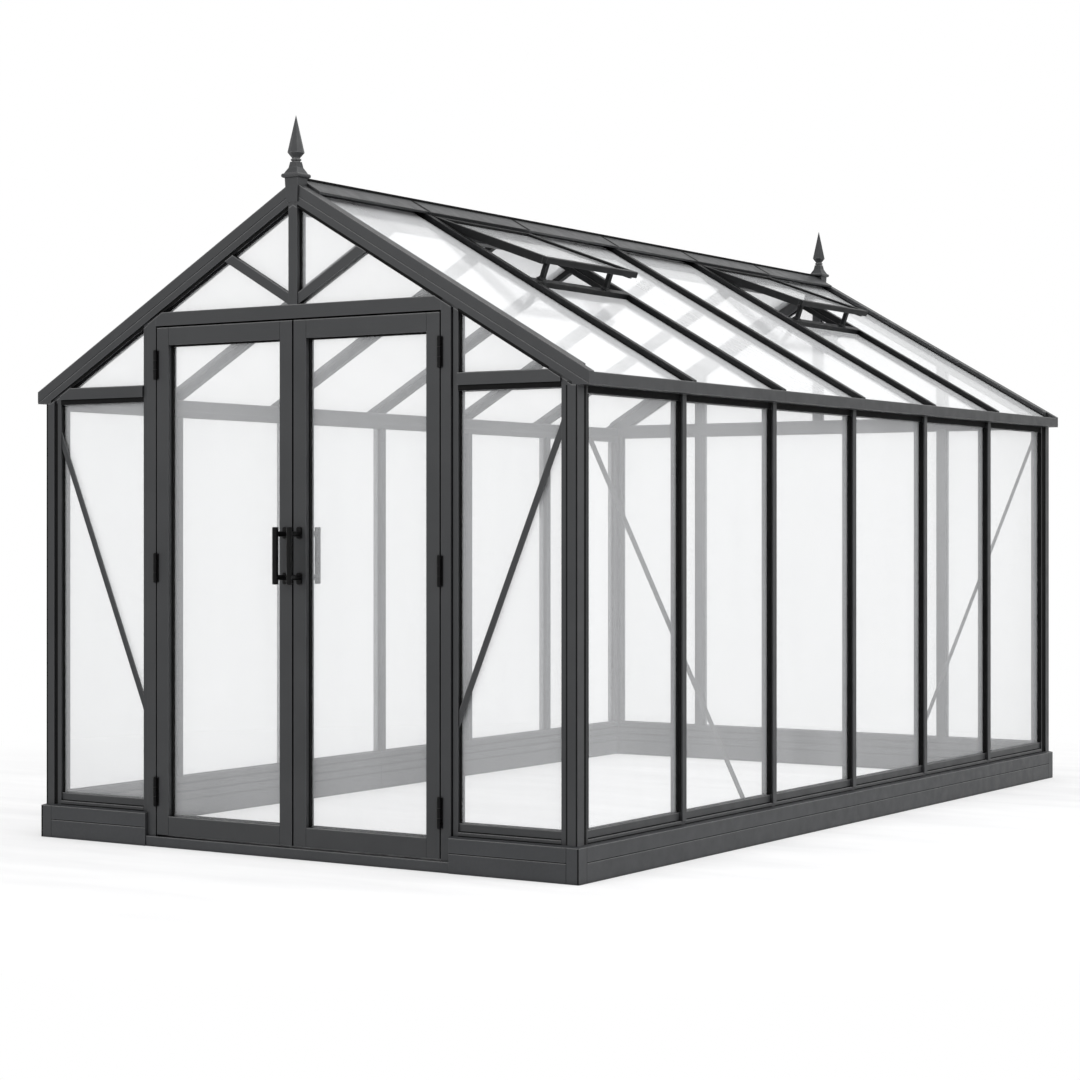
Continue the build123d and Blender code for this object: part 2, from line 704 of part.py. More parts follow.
def stays(span):
    """Two stays between the sill rail and the vent's bottom bar, square to the vent."""
    middle = slope_point(vent_sill_run + bar_width / 2, 0)
    run = ((middle[0] - hinge_x) * math.cos(open_pitch)
           - (middle[1] - hinge_z) * math.sin(open_pitch))
    sides = [vent_point(run - stay_width / 2, vent_depth), vent_point(run + stay_width / 2, vent_depth)]
    feet = []
    for x, z in sides:
        fall = (z - roof_line(x)) / (math.cos(open_pitch) + math.sin(open_pitch) * math.tan(pitch))
        feet.append((x - fall * math.sin(open_pitch), z - fall * math.cos(open_pitch)))
    outline = [sides[0], sides[1], feet[1], feet[0]]
    places = (span[0] + stay_inset, span[1] - far_stay_inset - stay_width)
    return [across(outline, y, y + stay_width) for y in places]


vent_spans = [roof_spans[n] for n in vent_bays]
save("vent_side_bars", *[bar for span in vent_spans for bar in vent_sides(span)])
save("vent_end_bars", *[bar for span in vent_spans for bar in vent_ends(span)])
save("vent_glass", *[vent_pane(span) for span in vent_spans])
save("vent_cross_rails", *[r for span in vent_spans for r in cross_rails(span)])
save("vent_stays", *[s for span in vent_spans for s in stays(span)])


# ---- Braces ----------------------------------------------------------------------------
def wall_brace(start, end):
    """A flat bar inside the right-hand wall between two (along, height) points."""
    length = math.dist(start, end)
    side_a = (start[1] - end[1]) / length * brace_width / 2
    side_h = (end[0] - start[0]) / length * brace_width / 2
    outline = [(start[0] + side_a, start[1] + side_h), (end[0] + side_a, end[1] + side_h),
               (end[0] - side_a, end[1] - side_h), (start[0] - side_a, start[1] - side_h)]
    return plate("right", member_depth, member_depth + brace_thickness, outline)


def gable_brace():
    """A flat bar across a front panel, outside its glass, cut to fit between the two channels."""
    run = corner_arm_end - arm_end
    length = math.hypot(run, gable_brace_top - gable_brace_foot)
    half_cut = brace_width / 2 * length / run
    outline = [(corner_arm_end, gable_brace_top + half_cut), (arm_end, gable_brace_foot + half_cut),
               (arm_end, gable_brace_foot - half_cut), (corner_arm_end, gable_brace_top - half_cut)]
    return plate("front", gable_brace_depth, gable_brace_depth + brace_thickness, outline)


front_brace = gable_brace()
save("front_braces", front_brace, mirrored_x(front_brace))
near_top = (-side_end - brace_seat, wall_brace_top)
near_foot = (near_brace_foot[0] - plinth_length / 2, near_brace_foot[1])
far_top = (side_end + brace_seat, wall_brace_top)
far_foot = (post_y[-2], far_brace_foot)
save("wall_braces", wall_brace(near_top, near_foot), wall_brace(far_top, far_foot))


# ---- Finials ---------------------------------------------------------------------------
def square_loft(width0, z0, width1, z1):
    low = Pos(0, 0, z0) * Rectangle(width0, width0)
    high = Pos(0, 0, z1) * Rectangle(width1, width1)
    return loft([low.face(), high.face()])


def finial():
    """The finial that stands on the front gable, with its block centred on the Z axis."""
    block = square_loft(finial_block_foot, block_foot, finial_block, block_top)
    collar = Pos(0, 0, block_top) * Box(collar_width, collar_width, collar_height,
                                        align=(Align.CENTER, Align.CENTER, Align.MIN))
    collar = fillet(collar.edges().filter_by(Axis.Z, reverse=True), collar_height / 2 - 1)
    flare_foot = block_top + collar_height
    flare_mid = flare_foot + flare_height / 2
    flare_top = flare_foot + flare_height
    waist = (flare_width + 3 * 2 * neck_radius) / 4
    flare = square_loft(flare_width, flare_foot, waist, flare_mid)
    flare += square_loft(waist, flare_mid, 2 * neck_radius, flare_top)
    neck_top = flare_top + neck_height
    neck = Pos(0, 0, flare_top) * Cylinder(neck_radius, neck_height,
                                           align=(Align.CENTER, Align.CENTER, Align.MIN))
    ring = Pos(0, 0, flare_top + neck_height / 2) * Cylinder(neck_ring_radius, neck_ring_height)
    spike_foot = neck_top + spike_cone_height
    narrow = Pos(0, 0, neck_top) * RegularPolygon(neck_radius, spike_sides)
    wide = Pos(0, 0, spike_foot) * RegularPolygon(spike_radius, spike_sides)
    tip = Pos(0, 0, spike_foot + spike_height) * RegularPolygon(0.6, spike_sides)
    cone = loft([narrow.face(), wide.face()])
    spike = loft([wide.face(), tip.face()])
    return block + collar + flare + neck + ring + cone + spike


block_centre_y = finial_block / 2 - finial_proud - frame_y
front_finial = Pos(0, block_centre_y, 0) * finial()
save("finials", front_finial, mirrored_y(front_finial))

# ---- Doors -----------------------------------------------------------------------------
leaf_outer = half_opening - door_side_gap
leaf_meeting = meeting_gap / 2
leaf_low = sill_height + door_end_gap
leaf_high = door_opening_top - door_end_gap
hinge_axis_x = half_opening - door_side_gap / 2
hinge_axis_y = -frame_y - barrel_stand


stile_inner = leaf_meeting + stile_width
stile_outer = leaf_outer - stile_width
door_glass_low = leaf_low + door_bottom_rail
door_glass_high = leaf_high - door_top_rail
leaf_slot = stud("front", door_glass_low - slot_bite, door_glass_high + slot_bite,
                 stile_inner - slot_bite, stile_outer + slot_bite,
                 door_glass_setback, door_glass_setback + slot)


def leaf_stiles():
    sides = [(leaf_meeting, stile_inner), (stile_outer, leaf_outer)]
    return [stud("front", leaf_low, leaf_high, a, b, 0, leaf_depth) - leaf_slot for a, b in sides]


def leaf_rails():
    levels = [(leaf_low, door_glass_low), (door_glass_high, leaf_high)]
    return [stud("front", z0, z1, stile_inner, stile_outer, 0, leaf_depth) - leaf_slot
            for z0, z1 in levels]


def leaf_pane():
    outer = door_glass_setback + glass_play
    return stud("front", door_glass_low - pane_bite, door_glass_high + pane_bite,
                stile_inner - pane_bite, stile_outer + pane_bite, outer, outer + glass)


def barrel(z0, z1, radius):
    return Pos(hinge_axis_x, hinge_axis_y, (z0 + z1) / 2) * Cylinder(radius, z1 - z0)


def hinge_pair(height):
    """The parts of one butt hinge: the one on the jamb with its pin, and the one on the leaf."""
    low = height - hinge_length / 2
    high = height + hinge_length / 2
    third = hinge_length / 3
    knuckle_low = low + third + knuckle_play
    knuckle_high = high - third - knuckle_play
    plate_start = barrel_radius + barrel_to_plate
    plate_end = plate_start + hinge_plate
    plate_y0 = -frame_y - hinge_plate_thickness
    fixed = box(hinge_axis_x + plate_start, hinge_axis_x + plate_end, plate_y0, -frame_y, low, high)
    fixed += barrel(low, high, pin_radius)
    for z0, z1 in ((low, low + third), (high - third, high)):
        fixed += barrel(z0, z1, barrel_radius)
        fixed += box(hinge_axis_x + pin_radius, hinge_axis_x + plate_start, plate_y0, -frame_y, z0, z1)
    moving = box(hinge_axis_x - plate_end, hinge_axis_x - plate_start, plate_y0, -frame_y, low, high)
    moving += barrel(knuckle_low, knuckle_high, barrel_radius)
    moving += box(hinge_axis_x - plate_start, hinge_axis_x - pin_radius, plate_y0, -frame_y,
                  knuckle_low, knuckle_high)
    moving -= barrel(low, high, pin_radius + pin_play)
    return fixed, moving


def pull_bar():
    """A pull bar on the outside of the leaf's meeting stile, with its standoffs and feet."""
    x = leaf_meeting + stile_width / 2
    bar = Cylinder(handle_radius, handle_length)
    bar = fillet(bar.edges(), handle_radius / 3)
    handle = Pos(x, -frame_y - handle_reach, handle_height) * bar
    foot = Box(handle_foot_width, handle_foot_thickness, handle_foot_height)
    foot = fillet(foot.edges().filter_by(Axis.Y), handle_foot_width / 3)
    for side in (-1, 1):
        standoff_z = handle_height + side * standoff_spacing / 2
        foot_z = handle_height + side * (handle_length - handle_foot_height) / 2
        handle += (Pos(x, -frame_y - handle_reach / 2, standoff_z) * Rot(90, 0, 0)
                   * Cylinder(standoff_radius, handle_reach))
        handle += Pos(x, -frame_y - handle_foot_thickness / 2, foot_z) * foot
    return handle


hinges = [hinge_pair(height) for height in hinge_heights]
fixed_hinges = [fixed for fixed, moving in hinges]
leaf_hinges = [moving for fixed, moving in hinges]
leaf_middle_y = leaf_depth / 2 - frame_y
outer_bar = pull_bar()
inner_bar = outer_bar.mirror(Plane.XZ.offset(-leaf_middle_y))
right_leaf = {
    "stiles": leaf_stiles(),
    "rails": leaf_rails(),
    "glass": [leaf_pane()],
    "hinges": leaf_hinges,
    "handles": [outer_bar, inner_bar],
}
for name, shapes in right_leaf.items():
    save("right_door_" + name, *shapes)
    save("left_door_" + name, *[mirrored_x(s) for s in shapes])
save("door_jamb_hinges", *fixed_hinges, *[mirrored_x(h) for h in fixed_hinges])
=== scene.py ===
# %% [markdown]
# A glass greenhouse, finished piece by piece.
# The building itself, its bars, posts, panes, doors and vents, arrives as a finished frame of separate
# nodes. This file gives every node the finish that it has on a real greenhouse and adds what is too small
# for the frame: the black seals round the glass, the bolts of the braces, the feet of the vent stays.
# All lengths are in metres, X runs to the right seen from the doors, Y to the rear gable and Z up.

# %% Load the frame and measure it
import json
import math

import bmesh
import bpy
from mathutils import Matrix, Vector


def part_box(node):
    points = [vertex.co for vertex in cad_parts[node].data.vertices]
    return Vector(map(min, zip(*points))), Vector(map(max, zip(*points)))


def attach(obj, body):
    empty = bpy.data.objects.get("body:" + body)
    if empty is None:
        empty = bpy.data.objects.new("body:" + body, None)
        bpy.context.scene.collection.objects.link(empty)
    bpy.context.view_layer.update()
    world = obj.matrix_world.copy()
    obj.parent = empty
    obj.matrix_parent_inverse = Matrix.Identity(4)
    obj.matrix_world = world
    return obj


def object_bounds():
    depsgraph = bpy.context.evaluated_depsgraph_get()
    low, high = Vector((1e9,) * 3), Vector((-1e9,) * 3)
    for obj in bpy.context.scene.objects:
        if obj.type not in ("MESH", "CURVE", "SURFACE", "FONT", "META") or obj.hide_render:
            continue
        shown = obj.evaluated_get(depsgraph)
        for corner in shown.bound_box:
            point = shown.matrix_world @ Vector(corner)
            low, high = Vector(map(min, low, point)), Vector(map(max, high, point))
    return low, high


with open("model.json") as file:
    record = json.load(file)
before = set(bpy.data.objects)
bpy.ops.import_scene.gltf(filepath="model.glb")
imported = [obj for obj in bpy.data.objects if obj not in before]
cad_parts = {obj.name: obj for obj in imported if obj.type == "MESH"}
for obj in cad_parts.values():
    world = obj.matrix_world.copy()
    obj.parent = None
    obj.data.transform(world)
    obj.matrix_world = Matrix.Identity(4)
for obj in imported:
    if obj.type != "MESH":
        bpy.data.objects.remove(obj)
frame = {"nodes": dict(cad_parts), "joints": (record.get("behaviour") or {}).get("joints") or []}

cad_box = [list(corner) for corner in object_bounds()]
nodes = frame["nodes"]
print("frame:", len(nodes), "nodes, from", cad_box[0], "to", cad_box[1])

# %% [markdown]
# Everything is placed from a few faces of the frame. The front of the plinth and the wall frame's outer
# planes are enough: a plinth stands proud of its walls, and each wall member is set back from the wall's
# outer plane by a fixed amount.

# %% Faces that the pieces are placed from
plinth_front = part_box("front_plinth")[0].y
frame_low, frame_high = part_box("corner_posts")
front_plane, rear_plane = frame_low.y, frame_high.y
left_plane, right_plane = frame_low.x, frame_high.x
member_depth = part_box("door_header")[1].y - front_plane
centre_y = (front_plane + rear_plane) / 2
print(f"wall frame {right_plane - left_plane:.3f} x {rear_plane - front_plane:.3f},",
      f"depth {member_depth:.3f}")

# %% [markdown]
# Blender's operators act on what is selected, and the frame comes in selected. So every piece starts by
# clearing the selection. A few small helpers keep the cells short: one makes an object the only selected
# one, one picks faces in edit mode by a test on their place or normal, one names a piece and its mesh
# alike, one joins parts into a piece, and one copies a piece with a mesh of its own.


# %% Selection helpers
def only(obj):
    """Deselects everything, then selects one object and makes it active."""
    bpy.ops.object.select_all(action="DESELECT")
    obj.select_set(True)
    bpy.context.view_layer.objects.active = obj


def pick_faces(obj, wanted):
    """In edit mode, selects the faces that pass a test."""
    bpy.ops.mesh.select_mode(type="FACE")
    bpy.ops.mesh.select_all(action="DESELECT")
    shape = bmesh.from_edit_mesh(obj.data)
    for face in shape.faces:
        if wanted(face):
            face.select_set(True)
    bmesh.update_edit_mesh(obj.data)


def rename(obj, name):
    obj.name = name
    obj.data.name = name
    return obj


def merged(name, parts):
    """Joins several mesh objects into one piece."""
    bpy.ops.object.select_all(action="DESELECT")
    for part in parts:
        part.select_set(True)
    bpy.context.view_layer.objects.active = parts[0]
    bpy.ops.object.join()
    return rename(bpy.context.active_object, name)


def placed_copy(obj, matrix):
    """A copy with a mesh of its own, moved in its mesh so that its object stays at the origin."""
    copy = obj.copy()
    copy.data = obj.data.copy()
    copy.data.transform(matrix)
    bpy.context.scene.collection.objects.link(copy)
    return copy


# %% [markdown]
# A strip is an extruded seal or cover. It starts as a cube between two corners, and its long edges are
# bevelled in edit mode, because no rubber or aluminium extrusion has a knife-sharp edge.


# %% A strip between two corners
def strip(low, high, edge):
    """A block between two corners with its edges rounded over."""
    bpy.ops.object.select_all(action="DESELECT")
    low, high = Vector(low), Vector(high)
    bpy.ops.mesh.primitive_cube_add(size=1.0, location=(low + high) / 2, scale=high - low)
    bpy.ops.object.transform_apply(location=True, rotation=True, scale=True)
    bpy.ops.object.mode_set(mode="EDIT")
    bpy.ops.mesh.select_all(action="SELECT")
    bpy.ops.mesh.bevel(offset=edge, segments=2, affect="EDGES")
    bpy.ops.object.mode_set(mode="OBJECT")
    return bpy.context.active_object


# %% [markdown]
# Each pane of a real greenhouse sits in a black rubber glazing seal, which shows as a thin dark line all
# round the glass. It could be modelled bar by bar, but the pane already has the right outline, even in
# the sloping corners of the gables. So a copy of the glass is merged, its outer faces are kept, and two
# insets make a ring: the first takes off the edge that is hidden in the slot, the second leaves the seal.

# %% One ring of glazing seal
slot_bite = 0.008  # edge of a pane that is hidden in its slot
seal_play = 0.0003  # between a seal and the bar beside it
seal_width = 0.005


def seal_rings(name, node, body, wanted, depth, kept=None, width=seal_width):
    """A seal round every pane of a glass node, on the faces that pass a test, or its kept parts."""
    obj = placed_copy(nodes[node], Matrix.Identity(4))
    obj.parent = None
    for key in list(obj.keys()):
        del obj[key]
    rename(obj, name)
    only(obj)
    bpy.ops.object.mode_set(mode="EDIT")
    bpy.ops.mesh.select_all(action="SELECT")
    bpy.ops.mesh.remove_doubles(threshold=0.00001)
    bpy.ops.mesh.dissolve_limited(angle_limit=math.radians(1))
    pick_faces(obj, lambda face: not wanted(face))
    bpy.ops.mesh.delete(type="FACE")
    bpy.ops.mesh.select_all(action="SELECT")
    bpy.ops.mesh.inset(thickness=slot_bite + seal_play, depth=0, use_individual=True)
    bpy.ops.mesh.select_all(action="INVERT")
    bpy.ops.mesh.delete(type="FACE")
    bpy.ops.mesh.select_all(action="SELECT")
    bpy.ops.mesh.inset(thickness=width, depth=0, use_individual=True)
    bpy.ops.mesh.delete(type="FACE")
    if kept is not None:
        pick_faces(obj, lambda face: not kept(face))
        bpy.ops.mesh.delete(type="FACE")
    bpy.ops.mesh.select_all(action="SELECT")
    bpy.ops.mesh.extrude_region_shrink_fatten(TRANSFORM_OT_shrink_fatten={"value": depth})
    bpy.ops.mesh.select_all(action="SELECT")
    bpy.ops.mesh.normals_make_consistent(inside=False)
    bpy.ops.object.mode_set(mode="OBJECT")
    rounding = obj.modifiers.new("rounded_lip", "BEVEL")
    rounding.width = 0.001
    rounding.segments = 2
    rounding.limit_method = "ANGLE"
    bpy.ops.object.modifier_apply(modifier=rounding.name)
    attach(obj, body)
    shape = bmesh.new()
    shape.from_mesh(obj.data)
    open_edges = sum(1 for edge in shape.edges if not edge.is_manifold)
    shape.free()
    print(name, len(obj.data.polygons), "faces,", open_edges, "open edges")
    return obj


# %% [markdown]
# At the foot of a pane the outer seal is left open. Its black line is partly a real seal and partly painted
# shade, and the shade falls at the sides and the top of a pane, not at its foot: in the walls only the
# upright and sloping pieces of the ring are kept, in the doors all but the lowest one, and in the roof only
# the pieces that run down beside the bars. The tests below pick the face of a pane that a seal lies on, and
# the pieces of its ring that stay.


# %% Which faces take a seal
def faces_out_of_wall(face):
    return face.normal.x * face.calc_center_median().x > 0 and abs(face.normal.x) > 0.9


def faces_into_wall(face):
    return face.normal.x * face.calc_center_median().x < 0 and abs(face.normal.x) > 0.9


def faces_forward(face):
    return face.normal.y < -0.9


def faces_rearward(face):
    return face.normal.y > 0.9


def faces_up(face):
    return face.normal.z > 0.5


def spans(face):
    """A face's extent along X, Y and Z."""
    return [max(v.co[n] for v in face.verts) - min(v.co[n] for v in face.verts) for n in range(3)]


def runs_down_slope(face):
    return spans(face)[0] > spans(face)[1]


def not_level(face):
    return spans(face)[2] > 2 * seal_width


def above_foot(face):
    return not_level(face) or face.calc_center_median().z > 1.0


# %% [markdown]
# The seals stand out to different depths: a wide lip outside, a narrow one inside, and a low one on the
# roof, where rain and leaves must slide over it.

# %% The glazing seals
outer_seal = 0.009
inner_seal = 0.006
inner_width = 0.003
roof_seal = 0.005
vent_seal = 0.006
door_seal = 0.012
seals = []
# The outer rings are real seals and also painted shade at the sides and tops of the panes.
for wall, node, outward, inward in (
        ("wall", "wall_glass", faces_out_of_wall, faces_into_wall),
        ("front", "front_gable_glass", faces_forward, faces_rearward),
        ("rear", "rear_gable_glass", faces_rearward, faces_forward)):
    seals.append(seal_rings(wall + "_outer_seals", node, "building", outward, outer_seal,
                            kept=not_level))
    seals.append(seal_rings(wall + "_inner_seals", node, "building", inward, inner_seal,
                            width=inner_width))
seals.append(seal_rings("vent_seals", "vent_glass", "building", faces_up, vent_seal))
seals.append(seal_rings("roof_seals", "roof_glass", "building", faces_up, roof_seal,
                        kept=runs_down_slope))
for side in ("left", "right"):
    node, body = side + "_door_glass", side + "_door"
    seals.append(seal_rings(side + "_door_outer_seal", node, body, faces_forward, door_seal,
                            kept=above_foot))
    seals.append(seal_rings(side + "_door_inner_seal", node, body, faces_rearward, inner_seal))
print("seals:", len(seals))

# %% [markdown]
# Beside each post of the side walls the seal is deeper: a black glazing strip is pushed in between the
# glass and the post's fin and fills most of the reveal, and it also paints the shade that lies in that
# deep reveal. Each pane has one along each upright edge, so the places come from the panes themselves,
# measured one by one from the loose parts of the glass.


# %% The upright glazing strips, also painted shade in the reveals
def loose_boxes(node):
    """The box of each loose part of a node, from front to rear."""
    shape = bmesh.new()
    shape.from_mesh(nodes[node].data)
    bmesh.ops.remove_doubles(shape, verts=shape.verts, dist=0.00001)
    boxes = []
    left = set(shape.verts)
    while left:
        part, border = set(), [left.pop()]
        while border:
            vert = border.pop()
            part.add(vert)
            for edge in vert.link_edges:
                other = edge.other_vert(vert)
                if other in left:
                    left.discard(other)
                    border.append(other)
        low = Vector([min(vert.co[n] for vert in part) for n in range(3)])
        high = Vector([max(vert.co[n] for vert in part) for n in range(3)])
        boxes.append((low, high))
    shape.free()
    return sorted(boxes, key=lambda box: (round(box[0].y, 4), box[0].x, box[0].z))


strip_thickness = 0.0035
strip_reach = 0.019  # from the glass towards the wall's outer plane
play = 0.0002  # between a strip or tape and what it lies on
tape_edge = 0.0004  # rounding of a tape's or bead's edges
wall_panes = loose_boxes("wall_glass")
strips = []
# Each black strip is a glazing strip and also painted shade in the reveal.
for low, high in wall_panes:
    outward = 1 if low.x > 0 else -1
    glass_face = high.x if outward > 0 else low.x
    x0, x1 = sorted((glass_face + outward * seal_play, glass_face + outward * strip_reach))
    z0, z1 = low.z + slot_bite + outer_seal / 2, high.z - slot_bite - outer_seal / 2
    for y, into in ((low.y + slot_bite, 1), (high.y - slot_bite, -1)):
        y0, y1 = sorted((y + into * play, y + into * strip_thickness))
        strips.append(strip((x0, y0, z0), (x1, y1, z1), 0.0008))
glazing_and_shade_strips = merged("post_glazing_strips", strips)
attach(glazing_and_shade_strips, "building")
print("glazing strips:", len(strips), "beside", len(wall_panes), "panes")

# %% [markdown]
# A corner post and a door jamb are made of two extrusions that clip together, and a groove is left
# between the post and its glazing channel. A black cover strip in each groove paints the shade that falls
# in it. On a jamb it lies deep in the groove. On a corner post it is a flat tape that covers the groove and
# laps onto the channel, and it is what draws the painted shade line down both sides of the corner. A fine
# black line is also laid down each corner post, close to its outer edge.

# %% Sizes of the posts, jambs and channels
corner_face = 0.040  # face of a corner post
channel_setback = 0.008  # a channel's face, behind the wall's outer plane
jamb_groove = 0.005
groove_floor = 0.022
jamb_cover_face = 0.012
jamb_channel = 0.026
gable_tape, side_tape = 0.0105, 0.027
tape_thickness = 0.0012
jamb_cover_top = 0.030  # under the head of a jamb
line_near, line_far = 0.0012, 0.0070  # a black edge line, in from a corner's edge
line_proud = 0.0004
jamb_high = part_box("door_jambs")[1]
jamb_outer = jamb_high.x - jamb_channel
jamb_low_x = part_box("door_header")[1].x
plinth_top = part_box("side_plinths")[1].z
gutter_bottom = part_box("gutters")[0].z


def mirrored(low, high, flip_x, flip_y):
    """A box mirrored about the building's middle planes, as asked."""
    low, high = Vector(low), Vector(high)
    if flip_x:
        low.x, high.x = -high.x, -low.x
    if flip_y:
        low.y, high.y = 2 * centre_y - high.y, 2 * centre_y - low.y
    return low, high


print(f"jambs from {jamb_low_x:.3f} to {jamb_outer:.3f}, walls from {plinth_top:.3f} to {gutter_bottom:.3f}")

# %% [markdown]
# Each strip is described once, for the front right corner, by its lower and upper corner. The other
# places are its mirror images.

# %% The cover strips beside the posts, painted shade in the grooves
tape_back = channel_setback - play
tape_face = tape_back - tape_thickness
gable_cover = ((right_plane - corner_face - gable_tape, front_plane + tape_face, plinth_top),
               (right_plane - corner_face - play, front_plane + tape_back, gutter_bottom))
side_cover = ((right_plane - tape_back, front_plane + corner_face + play, plinth_top),
              (right_plane - tape_face, front_plane + corner_face + side_tape, gutter_bottom))
jamb_cover = ((jamb_outer + play, front_plane + jamb_cover_face, plinth_top),
              (jamb_outer + jamb_groove - play, front_plane + groove_floor - play,
               jamb_high.z - jamb_cover_top))
edge_line = ((right_plane - line_far, front_plane - line_proud, plinth_top),
             (right_plane - line_near, front_plane + play, gutter_bottom))
# These black strips paint the shade in the grooves beside the posts and jambs.
covers = []
for flip_x in (False, True):
    covers.append(strip(*mirrored(*jamb_cover, flip_x, False), 0.0006))
    for flip_y in (False, True):
        covers.append(strip(*mirrored(*gable_cover, flip_x, flip_y), tape_edge))
        covers.append(strip(*mirrored(*edge_line, flip_x, flip_y), 0.0001))
        covers.append(strip(*mirrored(*side_cover, flip_x, flip_y), tape_edge))
print("covers of posts and jambs:", len(covers))

# %% [markdown]
# The tapes over the panes lie in the channels of the head rails, which are set back further than those
# beside the posts, and in the channels under the gables' eave rails. They paint the shade that falls under
# the gutters and the eave rails.

# %% The tapes over the panes, painted shade under the gutters and eave rails
head_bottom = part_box("wall_glass")[1].z - slot_bite
head_setback, rail_channel, rail_drop = 0.014, 0.019, 0.006
# The head-rail tapes paint the shade under the gutters.
for low, high in wall_panes:
    for sign in (-1, 1):
        if sign * low.x > 0:
            x0, x1 = sorted((sign * (right_plane - head_setback + play),
                             sign * (right_plane - head_setback + play + tape_thickness)))
            covers.append(strip((x0, low.y + slot_bite + play, head_bottom + play),
                                (x1, high.y - slot_bite - play, gutter_bottom - play), tape_edge))
# The gable tapes paint the shade under the eave rails.
rail_foot = gutter_bottom - rail_drop
corner_reach = 0.069  # of a corner post and its channel, along the gable
front_span = (jamb_outer + jamb_channel + play, right_plane - corner_reach - play)
for flip_x in (False, True):
    for flip_y in (False, True):
        start = front_span[0] if not flip_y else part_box("gable_posts")[1].x + play
        covers.append(strip(*mirrored((start, front_plane + tape_face, rail_foot + play),
                                      (front_span[1], front_plane + tape_back,
                                       rail_foot + rail_channel - play), flip_x, flip_y), tape_edge))
# All these black strips and tapes are painted shade in grooves and channels, with the fine edge lines.
groove_covers = merged("groove_covers", covers)
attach(groove_covers, "building")
print("cover strips:", len(covers))

# %% [markdown]
# The plinth is an upper and a lower course with a shadow line between them, and each course stops at the
# corner blocks with another. The grooves are only two millimetres deep, so a thin black sealing bead
# stands for the shadow and the dirt that gather in them. The beads are placed from the plinths' boxes,
# and the corner posts' edge lines go on down the corner blocks.

# %% The beads in the plinth's grooves
seam_low, seam_high = 0.068, 0.071
seam_depth = 0.002
block_width = 0.050
end_groove = 0.002
bead_face = 0.0003  # behind the plinth's face
upright_top = 0.120  # just below the plinth's bevel
joint_half = 0.0012
beads = []
front_box, rear_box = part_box("front_plinth"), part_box("rear_plinth")
side_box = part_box("side_plinths")
block_x = side_box[1].x - block_width
block_y0, block_y1 = front_box[0].y + block_width, rear_box[1].y - block_width
for low_x, high_x, y, inward in ((jamb_outer, block_x, front_box[0].y, 1),
                                 (-block_x, -jamb_outer, front_box[0].y, 1),
                                 (-block_x, block_x, rear_box[1].y, -1)):
    y0, y1 = sorted((y + inward * bead_face, y + inward * (seam_depth - play)))
    beads.append(strip((low_x + play, y0, seam_low + play),
                       (high_x - play, y1, seam_high - play), tape_edge))
    for x in (low_x, high_x):
        if abs(abs(x) - block_x) < 0.001:
            x0, x1 = sorted((x, x - math.copysign(end_groove, x)))
            beads.append(strip((x0 + play, y0, play), (x1 - play, y1, upright_top), tape_edge))
for sign in (-1, 1):
    x0, x1 = sorted((sign * (side_box[1].x - bead_face), sign * (side_box[1].x - seam_depth + play)))
    beads.append(strip((x0, block_y0, seam_low + play), (x1, block_y1, seam_high - play), tape_edge))
    for y, step in ((block_y0, end_groove), (block_y1, -end_groove)):
        y0, y1 = sorted((y, y + step))
        beads.append(strip((x0, y0 + play, play), (x1, y1 - play, upright_top), tape_edge))
    joint_y = (block_y0 + block_y1) / 2
    beads.append(strip((x0, joint_y - joint_half, play),
                       (x1 + play, joint_y + joint_half, upright_top), tape_edge))
print("beads outside:", len(beads))

# %% [markdown]
# Inside, three dark beads mark the joints of the plinth's courses and of the bottom rail. They run along
# both side walls and the rear wall.

# %% The beads inside the plinth
bead_height, bead_depth = 0.007, 0.0016
bead_start = 0.055  # in from the corners of the wall frame
inner_seams = ((0.036, 0.070), (0.036, 0.104), (0.050, 0.140))  # depth from the outer plane, height
for inset, z in inner_seams:
    for sign in (-1, 1):
        face = right_plane - inset
        x0, x1 = sorted((sign * (face - play), sign * (face - bead_depth)))
        beads.append(strip((x0, front_plane + bead_start, z),
                           (x1, rear_plane - bead_start, z + bead_height), tape_edge))
    beads.append(strip((-right_plane + bead_start, rear_plane - inset - bead_depth, z),
                       (right_plane - bead_start, rear_plane - inset - play, z + bead_height), tape_edge))
print("beads with those inside:", len(beads))

# %% [markdown]
# A bottom rail steps back twice, at its lip and at its upper part. A thin dark line lies in the foot of
# each step, in every bay of the walls and gables, as the shadow and the dirt do.

# %% The lines at the steps of the bottom rails
lip_setback, lip_height = 0.007, 0.015
shadow_height, shadow_depth = 0.0035, 0.001
gable_post_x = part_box("gable_posts")[1].x
spans_x = {False: [(-front_span[1], -front_span[0]), (front_span[0], front_span[1])],
           True: [(-front_span[1], -gable_post_x), (-jamb_low_x, jamb_low_x), (gable_post_x, front_span[1])]}
for setback, z in ((lip_setback, plinth_top), (head_setback, plinth_top + lip_height)):
    z0, z1 = z + play, z + shadow_height
    for sign in (-1, 1):
        foot = right_plane - setback
        x0, x1 = sorted((sign * (foot + play), sign * (foot + shadow_depth)))
        for low, high in wall_panes:
            if sign * low.x > 0:
                beads.append(strip((x0, low.y + slot_bite + play, z0), (x1, high.y - slot_bite - play, z1),
                                   0.0003))
    for is_rear, spans_of_wall in spans_x.items():
        for start, end in spans_of_wall:
            low, high = mirrored((start + play, front_plane + setback - shadow_depth, z0),
                                 (end - play, front_plane + setback - play, z1), False, is_rear)
            beads.append(strip(low, high, 0.0003))
block_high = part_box("plinth_corner_blocks")[1]
for flip_x in (False, True):
    for flip_y in (False, True):
        beads.append(strip(*mirrored((block_high.x - line_far, front_box[0].y - bead_face, play),
                                     (block_high.x - line_near, front_box[0].y + play, upright_top),
                                     flip_x, flip_y), 0.0001))
plinth_beads = merged("plinth_groove_beads", beads)
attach(plinth_beads, "building")
